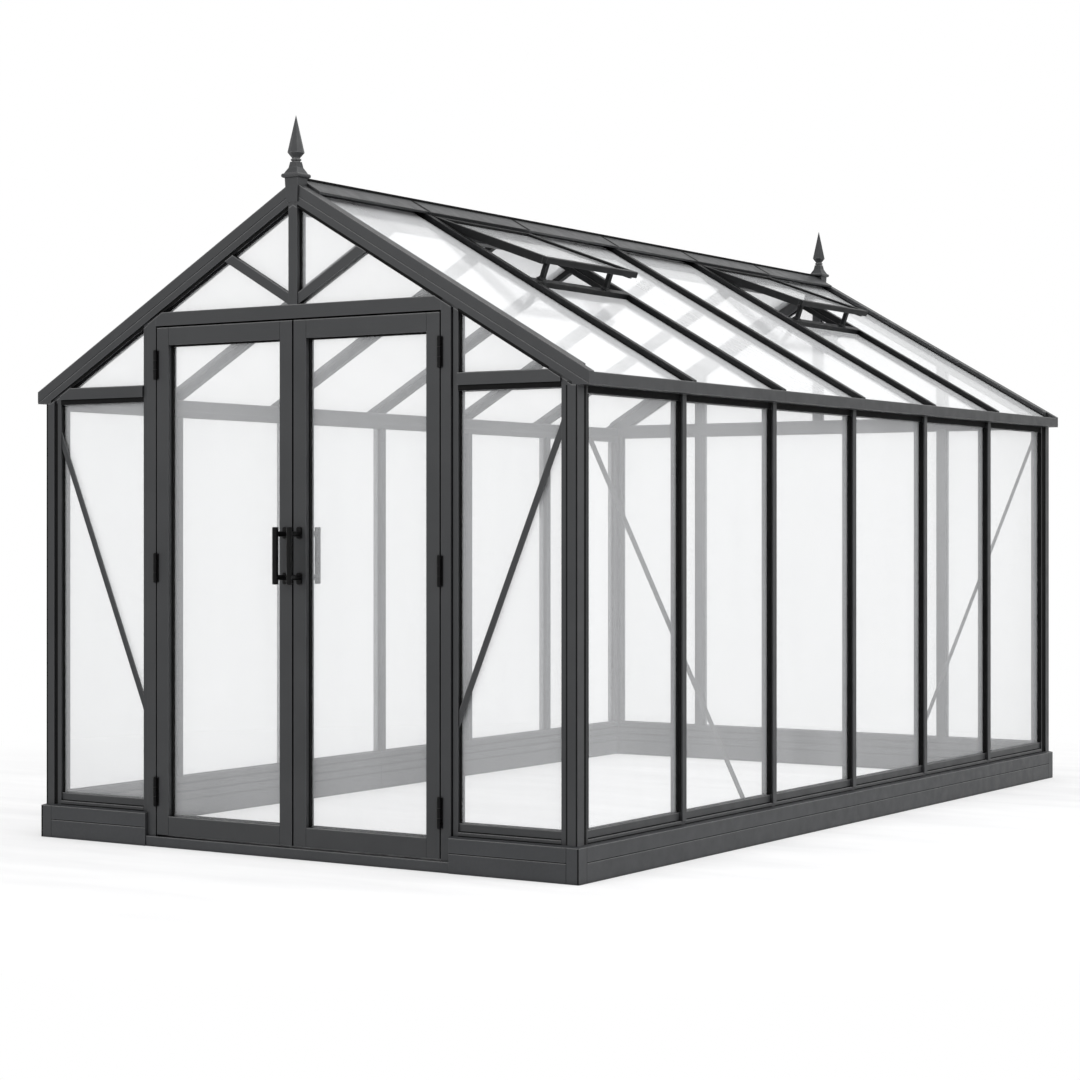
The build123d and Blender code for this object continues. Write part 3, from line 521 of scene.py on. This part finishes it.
print("plinth beads:", len(beads))

# %% [markdown]
# The roof pieces lie in the slope. It is easiest to make one flat, with its length along X and its top at
# Z = 0, and then to turn the finished mesh by the pitch and carry it to the ridge. The left slope is the
# right one turned half round the building's upright middle line.

# %% Pieces on the roof's slope
ridge_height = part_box("ridge_beam")[1].z
pitch = math.radians(30)
down_slope = Matrix.Translation((0, 0, ridge_height)) @ Matrix.Rotation(pitch, 4, "Y")
half_round = Matrix.Translation((0, 2 * centre_y, 0)) @ Matrix.Rotation(math.pi, 4, "Z")
print(f"ridge at {ridge_height:.4f}, pitch {math.degrees(pitch):.0f} degrees")


def on_both_slopes(piece):
    """Turns a flat piece into the right slope and adds its twin on the left one."""
    piece.data.transform(down_slope)
    return [piece, placed_copy(piece, half_round)]


# %% [markdown]
# The lower edge of each gable rafter is set back like the rails' channels, and it takes the same black
# tape, which paints the shade in that channel. The tape is cut between the uprights, once for each side
# of each gable, made flat and then tilted.

# %% The tapes along the rafters, painted shade in their channels
rafter_depth, rafter_channel = 0.074, 0.010
king_side = 0.021  # a little past the side of the king post
tape_middle = rafter_depth - rafter_channel / 2
eave_rail_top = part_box("gable_rails")[1].z
reach = (ridge_height - rafter_depth / math.cos(pitch) - eave_rail_top) / math.tan(pitch)


def along_slope(x):
    """Distance from the ridge, down the slope, of the tape's middle line where it crosses x."""
    return (x + tape_middle * math.sin(pitch)) / math.cos(pitch)


# Each tape paints the shade in the rafter's channel.
rafter_tapes = []
for is_rear in (False, True):
    y0, y1 = front_plane + tape_face, front_plane + tape_back
    post_side = jamb_outer + jamb_channel
    if is_rear:
        y0, y1 = 2 * centre_y - y1, 2 * centre_y - y0
        post_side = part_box("gable_posts")[1].x
    for start, end in ((king_side, jamb_low_x), (post_side, reach)):
        for sign in (-1, 1):
            x0, x1 = sorted((sign * along_slope(start), sign * along_slope(end)))
            tape = strip((x0, y0, -rafter_depth + play),
                         (x1, y1, -rafter_depth + rafter_channel - play), tape_edge)
            tape.data.transform(Matrix.Translation((0, 0, ridge_height)) @
                                Matrix.Rotation(sign * pitch, 4, "Y"))
            rafter_tapes.append(tape)
rafter_shade_strip = merged("rafter_tapes", rafter_tapes)
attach(rafter_shade_strip, "building")
print("rafter tapes:", len(rafter_tapes))

# %% [markdown]
# Each length of the ridge cap and of the gutters butts against the next. A flat black strap covers each
# joint of the cap, a black filler shows in each joint of the gutters, and a black crest seal runs along
# the top of the ridge, where the two sides of the cap meet.

# %% Joint straps and the crest seal
post_lines = sorted({round((low.y + high.y) / 2, 5) for low, high in loose_boxes("wall_posts")})
strap_width = 0.020
strap_thickness = 0.0010
cap_side = 0.095
cap_thickness = 0.010
straps = []
for y in post_lines:
    straps += on_both_slopes(strip((0.004, y - strap_width / 2, cap_thickness + 0.0001),
                                   (cap_side, y + strap_width / 2, cap_thickness + strap_thickness), 0.0003))
gutter_low, gutter_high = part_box("gutters")
gutter_strap = 0.004
for y in post_lines:
    for sign in (-1, 1):
        x0, x1 = sorted((sign * (gutter_high.x - 0.0008), sign * (gutter_high.x - 0.00002)))
        straps.append(strip((x0, y - gutter_strap / 2, gutter_low.z + 0.001),
                            (x1, y + gutter_strap / 2, gutter_high.z - 0.001), 0.0002))
cap_low, cap_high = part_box("ridge_cap")
crest_half, crest_height = 0.005, 0.007
straps.append(strip((-crest_half, cap_low.y, cap_high.z - 0.001),
                    (crest_half, cap_high.y, cap_high.z + crest_height), 0.0015))
joint_straps = merged("joint_straps", straps)
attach(joint_straps, "building")

# %% [markdown]
# The two leaves meet on a pair of brush seals, one in the edge of each leaf. They close the gap between
# the stiles and stay clear of each other, so that either leaf can open first. They sit near the outer
# face, where an opening leaf swings away from its neighbour at once.

# %% The seals where the leaves meet
leaf_low, leaf_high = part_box("right_door_stiles")
brush_start = 0.008  # behind the leaf's face
brush_depth = 0.010
brush_gap = 0.0006  # between a seal and the middle of the doorway
for side, sign in (("left", -1), ("right", 1)):
    x0, x1 = sorted((sign * brush_gap, sign * leaf_low.x))
    brush = strip((x0, leaf_low.y + brush_start, leaf_low.z + 0.002),
                  (x1, leaf_low.y + brush_start + brush_depth, leaf_high.z - 0.002), 0.0008)
    rename(brush, side + "_door_meeting_seal")
    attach(brush, side + "_door")
    print(brush.name, "spans", round(x1 - x0, 4))

# %% [markdown]
# A leaf is made of two stiles that run through and two rails between them. The butt joints show as fine
# dark lines on its face, so a hair-thin dark sliver is laid over each of the four joints.

# %% The joint lines of the doors
joint_width, joint_proud = 0.0012, 0.0003
for side in ("left", "right"):
    rail_low, rail_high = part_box(side + "_door_rails")
    glass_low, glass_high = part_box(side + "_door_glass")
    lines = []
    for z0, z1 in ((rail_low.z, glass_low.z + slot_bite), (glass_high.z - slot_bite, rail_high.z)):
        for x in (rail_low.x, rail_high.x):
            lines.append(strip((x - joint_width / 2, leaf_low.y - joint_proud, z0 + 0.001),
                               (x + joint_width / 2, leaf_low.y + 0.0001, z1 - 0.001), 0.0001))
    joint_lines = merged(side + "_door_joint_lines", lines)
    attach(joint_lines, side + "_door")
    print(joint_lines.name, len(lines))

# %% [markdown]
# Bolts hold the flat braces to the frame. A hexagon head on a washer is the same everywhere, so it is
# modelled once at the origin, standing on the XY plane: a six-sided cylinder whose top face is inset and
# lifted into a low crown, on a disc with its rim turned down. Copies are then turned to each wall.


# %% One bolt
def crowned_disc(sides, radius, height, base, crown):
    """A low cylinder whose top face is inset and lifted a little."""
    bpy.ops.object.select_all(action="DESELECT")
    bpy.ops.mesh.primitive_cylinder_add(vertices=sides, radius=radius, depth=height,
                                        location=(0, 0, base + height / 2))
    bpy.ops.object.transform_apply(location=True, rotation=True, scale=True)
    obj = bpy.context.active_object
    bpy.ops.object.mode_set(mode="EDIT")
    pick_faces(obj, lambda face: face.normal.z > 0.9)
    bpy.ops.mesh.inset(thickness=crown, depth=crown / 2)
    bpy.ops.object.mode_set(mode="OBJECT")
    return obj


washer_height = 0.0016
bolt = merged("bolt", [crowned_disc(6, 0.0065, 0.0045, washer_height, 0.0012),
                       crowned_disc(20, 0.0095, washer_height, 0.0, tape_edge)])
print("one bolt:", len(bolt.data.polygons), "faces")

# %% [markdown]
# The braces inside the right wall are bolted at both ends, and those of the front gable are held in the
# channels by their cut ends. The ends are found from the boxes of the braces' loose parts: each brace runs
# from its high end near a corner post down to its low end, so the bolts sit a little in from two opposite
# corners of its box.

# %% The brace bolts
bolt_inset = 0.014
bolts = []


def bolt_on_side(y, z, x):
    """A bolt on the inner face of a wall brace."""
    turn = Matrix.Rotation(math.radians(-90), 4, "Y")  # stands the head out along -X
    bolts.append(placed_copy(bolt, Matrix.Translation((x, y, z)) @ turn))


for low, high in loose_boxes("wall_braces"):
    toward_rear = 1 if low.y > centre_y else -1
    outer, inner = (high.y, low.y) if toward_rear > 0 else (low.y, high.y)
    bolt_on_side(outer - toward_rear * bolt_inset, high.z - bolt_inset, low.x)
    bolt_on_side(inner + toward_rear * bolt_inset, low.z + bolt_inset, low.x)
brace_bolts = merged("brace_bolts", bolts)
bpy.data.objects.remove(bolt)
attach(brace_bolts, "building")
print("bolts:", len(bolts), "faces:", len(brace_bolts.data.polygons))

# %% [markdown]
# The hinge pins end in small rounded caps above and below the knuckles. A cap is a short cylinder whose
# outer rim is bevelled round, and it is copied to both ends of every hinge pin.

# %% The hinge pin caps
hinge_radius = 0.007
cap_height = 0.003
bpy.ops.object.select_all(action="DESELECT")
bpy.ops.mesh.primitive_cylinder_add(vertices=24, radius=hinge_radius - 0.0006, depth=cap_height,
                                    location=(0, 0, cap_height / 2))
bpy.ops.object.transform_apply(location=True, rotation=True, scale=True)
cap = bpy.context.active_object
bpy.ops.object.mode_set(mode="EDIT")
pick_faces(cap, lambda face: face.normal.z > 0.9)
bpy.ops.mesh.bevel(offset=0.0022, segments=4, affect="EDGES")
bpy.ops.object.mode_set(mode="OBJECT")
caps = []
for low, high in loose_boxes("door_jamb_hinges"):
    joint = frame["joints"][0 if low.x > 0 else 1]
    x, y = joint["pos_m"][0], joint["pos_m"][1]
    caps.append(placed_copy(cap, Matrix.Translation((x, y, high.z))))
    caps.append(placed_copy(cap, Matrix.Translation((x, y, low.z)) @ Matrix.Rotation(math.pi, 4, "X")))
hinge_caps = merged("hinge_pin_caps", caps)
bpy.data.objects.remove(cap)
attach(hinge_caps, "building")
print("hinge caps:", len(caps))

# %% [markdown]
# Each vent stay stands on a small foot that is screwed to the sill rail. The foot is a plate with a boss
# on it: a cube is flattened to the plate, its top face is inset and the inset face drawn up. One foot is
# modelled at the origin. The feet lie in the slope of the roof, so each copy is turned by the pitch before
# it is put in its place.

# %% The feet of the vent stays
foot_length, foot_width, foot_plate = 0.034, 0.030, 0.004
foot_rim, boss_height, foot_edge = 0.004, 0.006, 0.0008
foot_inset = 0.007  # from a stay's lower edge to the middle of its foot
bpy.ops.object.select_all(action="DESELECT")
bpy.ops.mesh.primitive_cube_add(size=1.0, location=(0, 0, foot_plate / 2),
                                scale=(foot_length, foot_width, foot_plate))
bpy.ops.object.transform_apply(location=True, rotation=True, scale=True)
foot = bpy.context.active_object
bpy.ops.object.mode_set(mode="EDIT")
pick_faces(foot, lambda face: face.normal.z > 0.9)
bpy.ops.mesh.inset(thickness=foot_rim, depth=0)
bpy.ops.mesh.extrude_region_move(TRANSFORM_OT_translate={"value": (0, 0, boss_height)})
bpy.ops.mesh.select_all(action="SELECT")
bpy.ops.mesh.bevel(offset=foot_edge, segments=2, affect="EDGES")
bpy.ops.object.mode_set(mode="OBJECT")
feet = []
for low, high in loose_boxes("vent_stays"):
    x, y = low.x + foot_inset, (low.y + high.y) / 2
    z = ridge_height - x * math.tan(pitch)
    feet.append(placed_copy(foot, Matrix.Translation((x, y, z)) @ Matrix.Rotation(pitch, 4, "Y")))
bpy.data.objects.remove(foot)
stay_feet = merged("vent_stay_feet", feet)
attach(stay_feet, "building")
print("stay feet:", len(feet))

# %% [markdown]
# Now the finishes. They are built from shader nodes, and the same few steps come back in all of them: a
# noise pattern, a change of its range, a step of arithmetic, a blend of two colours. The patterns read
# Object coordinates, which are metres here, so a scale of 600 means grains of under two millimetres.


# %% Helpers for patterns and colours
def new_finish(name):
    """A material with its node tree, its principled shader and an Object coordinate output."""
    finish = bpy.data.materials.new(name)
    finish.use_nodes = True
    tree = finish.node_tree
    shader = tree.nodes["Principled BSDF"]
    place = tree.nodes.new("ShaderNodeTexCoord").outputs["Object"]
    return finish, tree, shader, place


def noise(tree, place, scale, detail=2.0, stretch=(1.0, 1.0, 1.0)):
    """A noise pattern, stretched by a mapping, as a value from 0 to 1."""
    mapping = tree.nodes.new("ShaderNodeMapping")
    mapping.inputs["Scale"].default_value = stretch
    texture = tree.nodes.new("ShaderNodeTexNoise")
    texture.inputs["Scale"].default_value = scale
    texture.inputs["Detail"].default_value = detail
    tree.links.new(place, mapping.inputs["Vector"])
    tree.links.new(mapping.outputs["Vector"], texture.inputs["Vector"])
    return texture.outputs["Fac"]


def ranged(tree, value, low, high, start=0.3, end=0.7):
    """A value mapped from start..end to low..high."""
    mapper = tree.nodes.new("ShaderNodeMapRange")
    mapper.inputs["From Min"].default_value = start
    mapper.inputs["From Max"].default_value = end
    mapper.inputs["To Min"].default_value = low
    mapper.inputs["To Max"].default_value = high
    tree.links.new(value, mapper.inputs["Value"])
    return mapper.outputs["Result"]


def combined(tree, operation, first, second):
    """Two values put together by one arithmetic step."""
    step = tree.nodes.new("ShaderNodeMath")
    step.operation = operation
    tree.links.new(first, step.inputs[0])
    tree.links.new(second, step.inputs[1])
    return step.outputs["Value"]


def blended(tree, factor, first, second):
    """A colour between two colours or colour outputs."""
    mix = tree.nodes.new("ShaderNodeMix")
    mix.data_type = "RGBA"
    tree.links.new(factor, mix.inputs["Factor"])
    for socket, colour in ((mix.inputs["A"], first), (mix.inputs["B"], second)):
        if isinstance(colour, tuple):
            socket.default_value = (*colour, 1.0)
        else:
            tree.links.new(colour, socket)
    return mix.outputs["Result"]


# %% [markdown]
# Wear, painted highlights and painted shade follow the shape. A rounded normal differs from the plain one
# only near an edge, which gives the rubbed edges and their painted highlight, and where it turns up towards
# the sky, a painted highlight lies along the upper edge. How much of its surroundings a point sees tells the
# grooves and inner corners from the open faces, and shade is painted into them.


# %% Helpers for edges and recesses
def edge_and_upturn_masks(tree, radius):
    """From 0 on flat faces to 1 at outer edges, and how far the rounded edge turns up towards the sky."""
    bevel = tree.nodes.new("ShaderNodeBevel")
    bevel.samples = 4
    bevel.inputs["Radius"].default_value = radius
    plain = tree.nodes.new("ShaderNodeNewGeometry")
    product = tree.nodes.new("ShaderNodeVectorMath")
    product.operation = "DOT_PRODUCT"
    tree.links.new(bevel.outputs["Normal"], product.inputs[0])
    tree.links.new(plain.outputs["Normal"], product.inputs[1])
    rise = tree.nodes.new("ShaderNodeVectorMath")
    rise.operation = "SUBTRACT"
    tree.links.new(bevel.outputs["Normal"], rise.inputs[0])
    tree.links.new(plain.outputs["Normal"], rise.inputs[1])
    parts = tree.nodes.new("ShaderNodeSeparateXYZ")
    tree.links.new(rise.outputs["Vector"], parts.inputs["Vector"])
    return ranged(tree, product.outputs["Value"], 1.0, 0.0, 0.75, 0.99), parts.outputs["Z"]


def openness(tree, reach):
    """From 0 deep in grooves to 1 on open faces."""
    crevice = tree.nodes.new("ShaderNodeAmbientOcclusion")
    crevice.samples = 4
    crevice.inputs["Distance"].default_value = reach
    return crevice.outputs["AO"]


def dimmed(tree, colour, shade):
    """A colour multiplied by a shade."""
    mix = tree.nodes.new("ShaderNodeMix")
    mix.data_type = "RGBA"
    mix.blend_type = "MULTIPLY"
    mix.inputs["Factor"].default_value = 1.0
    tree.links.new(colour, mix.inputs["A"])
    tree.links.new(shade, mix.inputs["B"])
    return mix.outputs["Result"]


def bumped(tree, shader, height, strength, distance):
    """Gives a shader a fine relief."""
    bump = tree.nodes.new("ShaderNodeBump")
    bump.inputs["Strength"].default_value = strength
    bump.inputs["Distance"].default_value = distance
    tree.links.new(height, bump.inputs["Height"])
    tree.links.new(bump.outputs["Normal"], shader.inputs["Normal"])


# %% [markdown]
# The frame is aluminium with a baked powder coat in anthracite grey. A flat grey would look like plastic:
# a real powder coat has a faint orange-peel skin and its tone drifts a little along a bar. Edges are
# rubbed lighter and carry a painted highlight, a painted highlight lies along every upper edge, and
# painted shade darkens grooves and inner corners. The plinth is splashed from the ground, and the slender
# bars and vents of the roof take a darker copy of the coat, with less highlight and gloss.


# %% The powder coats
def powder_coat(name, dark, light, splash, upper_highlight_amount=0.9, shine=0.28):
    """Anthracite powder coat: drifting tone, orange-peel skin, rubbed edges, painted highlights on edges and
    upper edges, splashes, painted shade in recesses.
    """
    finish, tree, shader, place = new_finish(name)
    tone = blended(tree, ranged(tree, noise(tree, place, 5.0, 3.0), 0.0, 1.0), dark, light)
    # Edges lighter: partly rubbed wear, partly a painted highlight.
    edge_wear_and_highlight, upturn = edge_and_upturn_masks(tree, 0.0055)
    patchy = ranged(tree, noise(tree, place, 40.0, 4.0), 0.30, 0.60)
    colour = blended(tree, combined(tree, "MULTIPLY", edge_wear_and_highlight, patchy), tone, worn_and_highlit)
    # A painted highlight along upper edges, where the rounded edge turns to the sky.
    upper_edge_highlight = ranged(tree, upturn, 0.0, upper_highlight_amount, 0.08, 0.40)
    colour = blended(tree, upper_edge_highlight, colour, dust_and_highlight)
    height = tree.nodes.new("ShaderNodeSeparateXYZ")
    tree.links.new(place, height.inputs["Vector"])
    low = ranged(tree, height.outputs["Z"], splash, 0.0, 0.0, 0.22)
    speckle = ranged(tree, noise(tree, place, 90.0, 5.0), 0.2, 1.0, 0.35, 0.75)
    colour = blended(tree, combined(tree, "MULTIPLY", low, speckle), colour, dust_and_highlight)
    # Painted shade: colour and gloss are darkened in grooves and inner corners, where little of the
    # surroundings is seen.
    open_face = openness(tree, 0.03)
    colour = dimmed(tree, colour, ranged(tree, open_face, 0.08, 1.0, 0.15, 0.70))
    tree.links.new(colour, shader.inputs["Base Color"])
    tree.links.new(ranged(tree, open_face, 0.03, shine, 0.15, 0.70), shader.inputs["Specular IOR Level"])
    tree.links.new(ranged(tree, noise(tree, place, 18.0, 3.0), 0.38, 0.50), shader.inputs["Roughness"])
    bumped(tree, shader, noise(tree, place, 620.0, 2.0), 0.10, 0.0004)
    return finish


# The first grey is for rubbed edges with their painted highlight, the second for the painted highlight along
# upper edges and for splashed dirt.
worn_and_highlit, dust_and_highlight = (0.070, 0.072, 0.075), (0.190, 0.190, 0.190)
frame_coat = powder_coat("anthracite_powder_coat", (0.0265, 0.0275, 0.0290), (0.0320, 0.0330, 0.0345), 0.0)
roof_coat = powder_coat("roof_powder_coat", (0.0060, 0.0063, 0.0068), (0.0085, 0.0090, 0.0096), 0.0,
                        upper_highlight_amount=0.25, shine=0.12)
plinth_coat = powder_coat("plinth_powder_coat", (0.0275, 0.0290, 0.0310), (0.0330, 0.0345, 0.0370), 0.04)
print("powder coats:", frame_coat.name, roof_coat.name, plinth_coat.name)

# %% [markdown]
# Hinges, pull bars and bolts are coated black, smoother than the frame and a little glossy where hands
# polish them. The seals are soft black rubber: almost no gloss, a fine grain and a dusty bloom in
# patches. Both stay very dark, so the lines round the glass read as black.


# %% Black fittings and rubber
def black_coat():
    """Satin black with lighter edges."""
    finish, tree, shader, place = new_finish("black_satin_coat")
    # Lighter edges: rubbed wear and a painted highlight.
    edge_wear_and_highlight = edge_and_upturn_masks(tree, 0.0010)[0]
    tone = blended(tree, ranged(tree, noise(tree, place, 30.0, 3.0), 0.0, 1.0),
                   (0.0018, 0.0018, 0.0019), (0.0032, 0.0032, 0.0033))
    shader.inputs["Specular IOR Level"].default_value = 0.12
    tree.links.new(blended(tree, edge_wear_and_highlight, tone, (0.010, 0.010, 0.010)), shader.inputs["Base Color"])
    tree.links.new(ranged(tree, noise(tree, place, 55.0, 3.0), 0.26, 0.42), shader.inputs["Roughness"])
    bumped(tree, shader, noise(tree, place, 900.0, 2.0), 0.05, 0.0002)
    return finish


def black_rubber():
    """Dull black rubber with a bloom of dust."""
    finish, tree, shader, place = new_finish("black_glazing_rubber")
    bloom = ranged(tree, noise(tree, place, 14.0, 5.0), 0.0, 1.0)
    tree.links.new(blended(tree, bloom, (0.0025, 0.0025, 0.0026), (0.0050, 0.0050, 0.0051)),
                   shader.inputs["Base Color"])
    tree.links.new(ranged(tree, noise(tree, place, 120.0, 2.0), 0.62, 0.80), shader.inputs["Roughness"])
    shader.inputs["Specular IOR Level"].default_value = 0.10
    bumped(tree, shader, noise(tree, place, 1500.0, 2.0), 0.15, 0.0002)
    return finish


fittings_coat = black_coat()
rubber = black_rubber()
print("black finishes:", fittings_coat.name, "and", rubber.name)

# %% [markdown]
# Clear glass in front of a pale background looks slightly milky, and what stands behind it looks washed
# out. Refraction would be the textbook way, but thin panes bend nothing that can be seen, and they would
# stop the lamps from lighting the inside. So the glass is a smooth white veil with a low alpha, and
# faint wiped streaks and dust make the veil uneven. Real glass lets nearly all light through, scattered or
# not, so the veil is thinner still for the rays that light the scene. The roof panes are hazier, as roof
# glazing weathers. From inside the house that haze glows with the daylight behind it, so a roof pane that
# is seen through another pane keeps only a small share of its veil.


# %% Glass for the walls and for the roof
def veiled_glass(name, colour, thin, thick, stretch, behind_share):
    """Glass as a thin veil: its alpha drifts between two values in streaks and specks."""
    finish, tree, shader, place = new_finish(name)
    streaks = noise(tree, place, 3.0, 4.0, stretch)
    specks = noise(tree, place, 160.0, 3.0)
    both = tree.nodes.new("ShaderNodeMath")
    both.operation = "MULTIPLY_ADD"
    both.inputs[1].default_value = 0.15
    tree.links.new(specks, both.inputs[0])
    tree.links.new(streaks, both.inputs[2])
    shader.inputs["Base Color"].default_value = (*colour, 1.0)
    veil = ranged(tree, both.outputs["Value"], thin, thick, 0.35, 0.85)
    rays = tree.nodes.new("ShaderNodeLightPath")
    lighting = combined(tree, "MAXIMUM", rays.outputs["Is Shadow Ray"], rays.outputs["Is Diffuse Ray"])
    kept = ranged(tree, lighting, 1.0, 0.2, 0.0, 1.0)
    behind = ranged(tree, rays.outputs["Transparent Depth"], 1.0, behind_share, 1.2, 1.8)
    alpha = combined(tree, "MULTIPLY", combined(tree, "MULTIPLY", veil, kept), behind)
    tree.links.new(alpha, shader.inputs["Alpha"])
    tree.links.new(ranged(tree, streaks, 0.03, 0.10), shader.inputs["Roughness"])
    shader.inputs["IOR"].default_value = 1.5
    return finish


wall_veil = veiled_glass("clear_pane_glass", (0.740, 0.750, 0.760), 0.185, 0.235, (1.0, 1.0, 0.18), 0.95)
roof_veil = veiled_glass("hazy_roof_glass", (0.790, 0.800, 0.810), 0.45, 0.56, (0.3, 1.0, 0.3), 0.20)
print("glass:", wall_veil.name, "and", roof_veil.name)

# %% [markdown]
# Every node takes its finish by what it is. A node's own material slots are cleared first, because the
# frame brings plain colours of its own.


# %% Give every node and piece its finish
def set_finish(obj, finish):
    obj.data.materials.clear()
    obj.data.materials.append(finish)


def node_finish(name):
    """The finish of a frame node, by what its name says it is."""
    if name in ("roof_glass", "vent_glass"):
        return roof_veil
    if name.endswith("glass"):
        return wall_veil
    if name.endswith("handles") or name.endswith("hinges"):
        return fittings_coat
    if name.startswith("vent") or name == "roof_bars":
        return roof_coat
    if "plinth" in name or name == "door_sill":
        return plinth_coat
    return frame_coat


for name, obj in nodes.items():
    set_finish(obj, node_finish(name))
for obj in seals + [glazing_and_shade_strips, groove_covers, plinth_beads, rafter_shade_strip, joint_straps]:
    set_finish(obj, rubber)
for side in ("left", "right"):
    set_finish(bpy.data.objects[side + "_door_meeting_seal"], rubber)
    set_finish(bpy.data.objects[side + "_door_joint_lines"], rubber)
for obj in (brace_bolts, hinge_caps):
    set_finish(obj, fittings_coat)
set_finish(stay_feet, roof_coat)
print("finished:", len(nodes), "nodes")

# %% [markdown]
# The floor is a plain pale ground that takes the building's soft shadow. Far from the building it fades
# into the white of the background, so that no horizon cuts across the picture.


# %% The floor
def shown_directly(tree):
    """1 for rays from the camera, and for reflections and clear glass that show the background too."""
    rays = tree.nodes.new("ShaderNodeLightPath")
    shown = rays.outputs["Is Camera Ray"]
    for other in ("Is Glossy Ray", "Is Transmission Ray"):
        shown = combined(tree, "MAXIMUM", shown, rays.outputs[other])
    return shown


floor_size = 60.0
bpy.ops.object.select_all(action="DESELECT")
bpy.ops.mesh.primitive_plane_add(size=floor_size, location=(0, 0, cad_box[0][2] - 0.0005))
floor = rename(bpy.context.active_object, "floor")
bpy.ops.object.transform_apply(location=True, rotation=True, scale=True)
floor_paint, tree, shader, place = new_finish("pale_floor")
shader.inputs["Roughness"].default_value = 0.9
shader.inputs["Specular IOR Level"].default_value = 0.0
streaks = noise(tree, place, 1.6, 5.0, (0.6, 3.0, 1.0))
tree.links.new(blended(tree, ranged(tree, streaks, 0.0, 1.0), (0.78, 0.78, 0.79), (0.93, 0.93, 0.935)),
               shader.inputs["Base Color"])
white = tree.nodes.new("ShaderNodeEmission")
distance = tree.nodes.new("ShaderNodeVectorMath")
distance.operation = "LENGTH"
tree.links.new(place, distance.inputs[0])
fade = ranged(tree, distance.outputs["Value"], 0.40, 1.0, 2.3, 4.4)
cover = tree.nodes.new("ShaderNodeMixShader")
tree.links.new(combined(tree, "MULTIPLY", fade, shown_directly(tree)), cover.inputs["Fac"])
tree.links.new(shader.outputs["BSDF"], cover.inputs[1])
tree.links.new(white.outputs["Emission"], cover.inputs[2])
tree.links.new(cover.outputs["Shader"], tree.nodes["Material Output"].inputs["Surface"])
set_finish(floor, floor_paint)
print("floor:", floor_size, "m wide, at", round(cad_box[0][2], 4))

# %% [markdown]
# The light is that of a bright studio: white all round, a little stronger from the right, where the side
# wall should read lighter than the gable. The world shows pure white to the camera and in reflections,
# and a slightly dimmer white to everything else, so the lamps have room to shape the bars.

# %% The world
world = bpy.data.worlds.new("studio")
bpy.context.scene.world = world
world.use_nodes = True
tree = world.node_tree
soft_sky = tree.nodes["Background"]
soft_sky.inputs["Color"].default_value = (1.0, 1.0, 1.0, 1.0)
soft_sky.inputs["Strength"].default_value = 0.74
backdrop = tree.nodes.new("ShaderNodeBackground")
backdrop.inputs["Color"].default_value = (1.0, 1.0, 1.0, 1.0)
choice = tree.nodes.new("ShaderNodeMixShader")
tree.links.new(shown_directly(tree), choice.inputs["Fac"])
tree.links.new(soft_sky.outputs["Background"], choice.inputs[1])
tree.links.new(backdrop.outputs["Background"], choice.inputs[2])
tree.links.new(choice.outputs["Shader"], tree.nodes["World Output"].inputs["Surface"])
bpy.context.scene.view_settings.view_transform = "Standard"
print("world: lights at", soft_sky.inputs["Strength"].default_value)

# %% [markdown]
# Three large soft lamps shape the building: the main one high on the right, a weaker one in front of the
# doors and one overhead that lights the upper edges of the bars.


# %% The lamps
def soft_lamp(name, place, target, size, power):
    lamp = bpy.data.lights.new(name, "AREA")
    lamp.shape = "RECTANGLE"
    lamp.size, lamp.size_y = size
    lamp.energy = power
    obj = bpy.data.objects.new(name, lamp)
    bpy.context.scene.collection.objects.link(obj)
    obj.location = place
    obj.rotation_euler = (Vector(target) - Vector(place)).to_track_quat("-Z", "Y").to_euler()
    print(name, "at", place, "power", power)


soft_lamp("main_lamp", (9.0, -1.5, 6.0), (0.0, 0.0, 1.0), (6.0, 6.0), 470)
soft_lamp("front_lamp", (-1.5, -10.0, 5.0), (0.0, -1.5, 1.2), (6.0, 4.0), 300)
soft_lamp("top_lamp", (1.0, 1.0, 8.5), (0.0, 0.0, 1.0), (7.0, 7.0), 190)

# %% [markdown]
# The camera stands at the right of the doors at chest height and looks level, so that the uprights stay
# upright. The lens is a short telephoto, as for a catalogue view of a building. The stand-off is measured
# from the front face of the plinth.

# %% The camera
camera_data = bpy.data.cameras.new("camera")
camera = bpy.data.objects.new("camera", camera_data)
bpy.context.scene.collection.objects.link(camera)
camera.location = (5.594, plinth_front - 7.026, 1.189)
camera.rotation_euler = (math.pi / 2, 0.0, math.radians(32.80))
camera_data.sensor_width = 36.0
camera_data.lens = 83.01
camera_data.shift_y = -0.01124
camera_data.clip_end = 200.0
bpy.context.scene.camera = camera
print("camera at", tuple(round(n, 3) for n in camera.location))
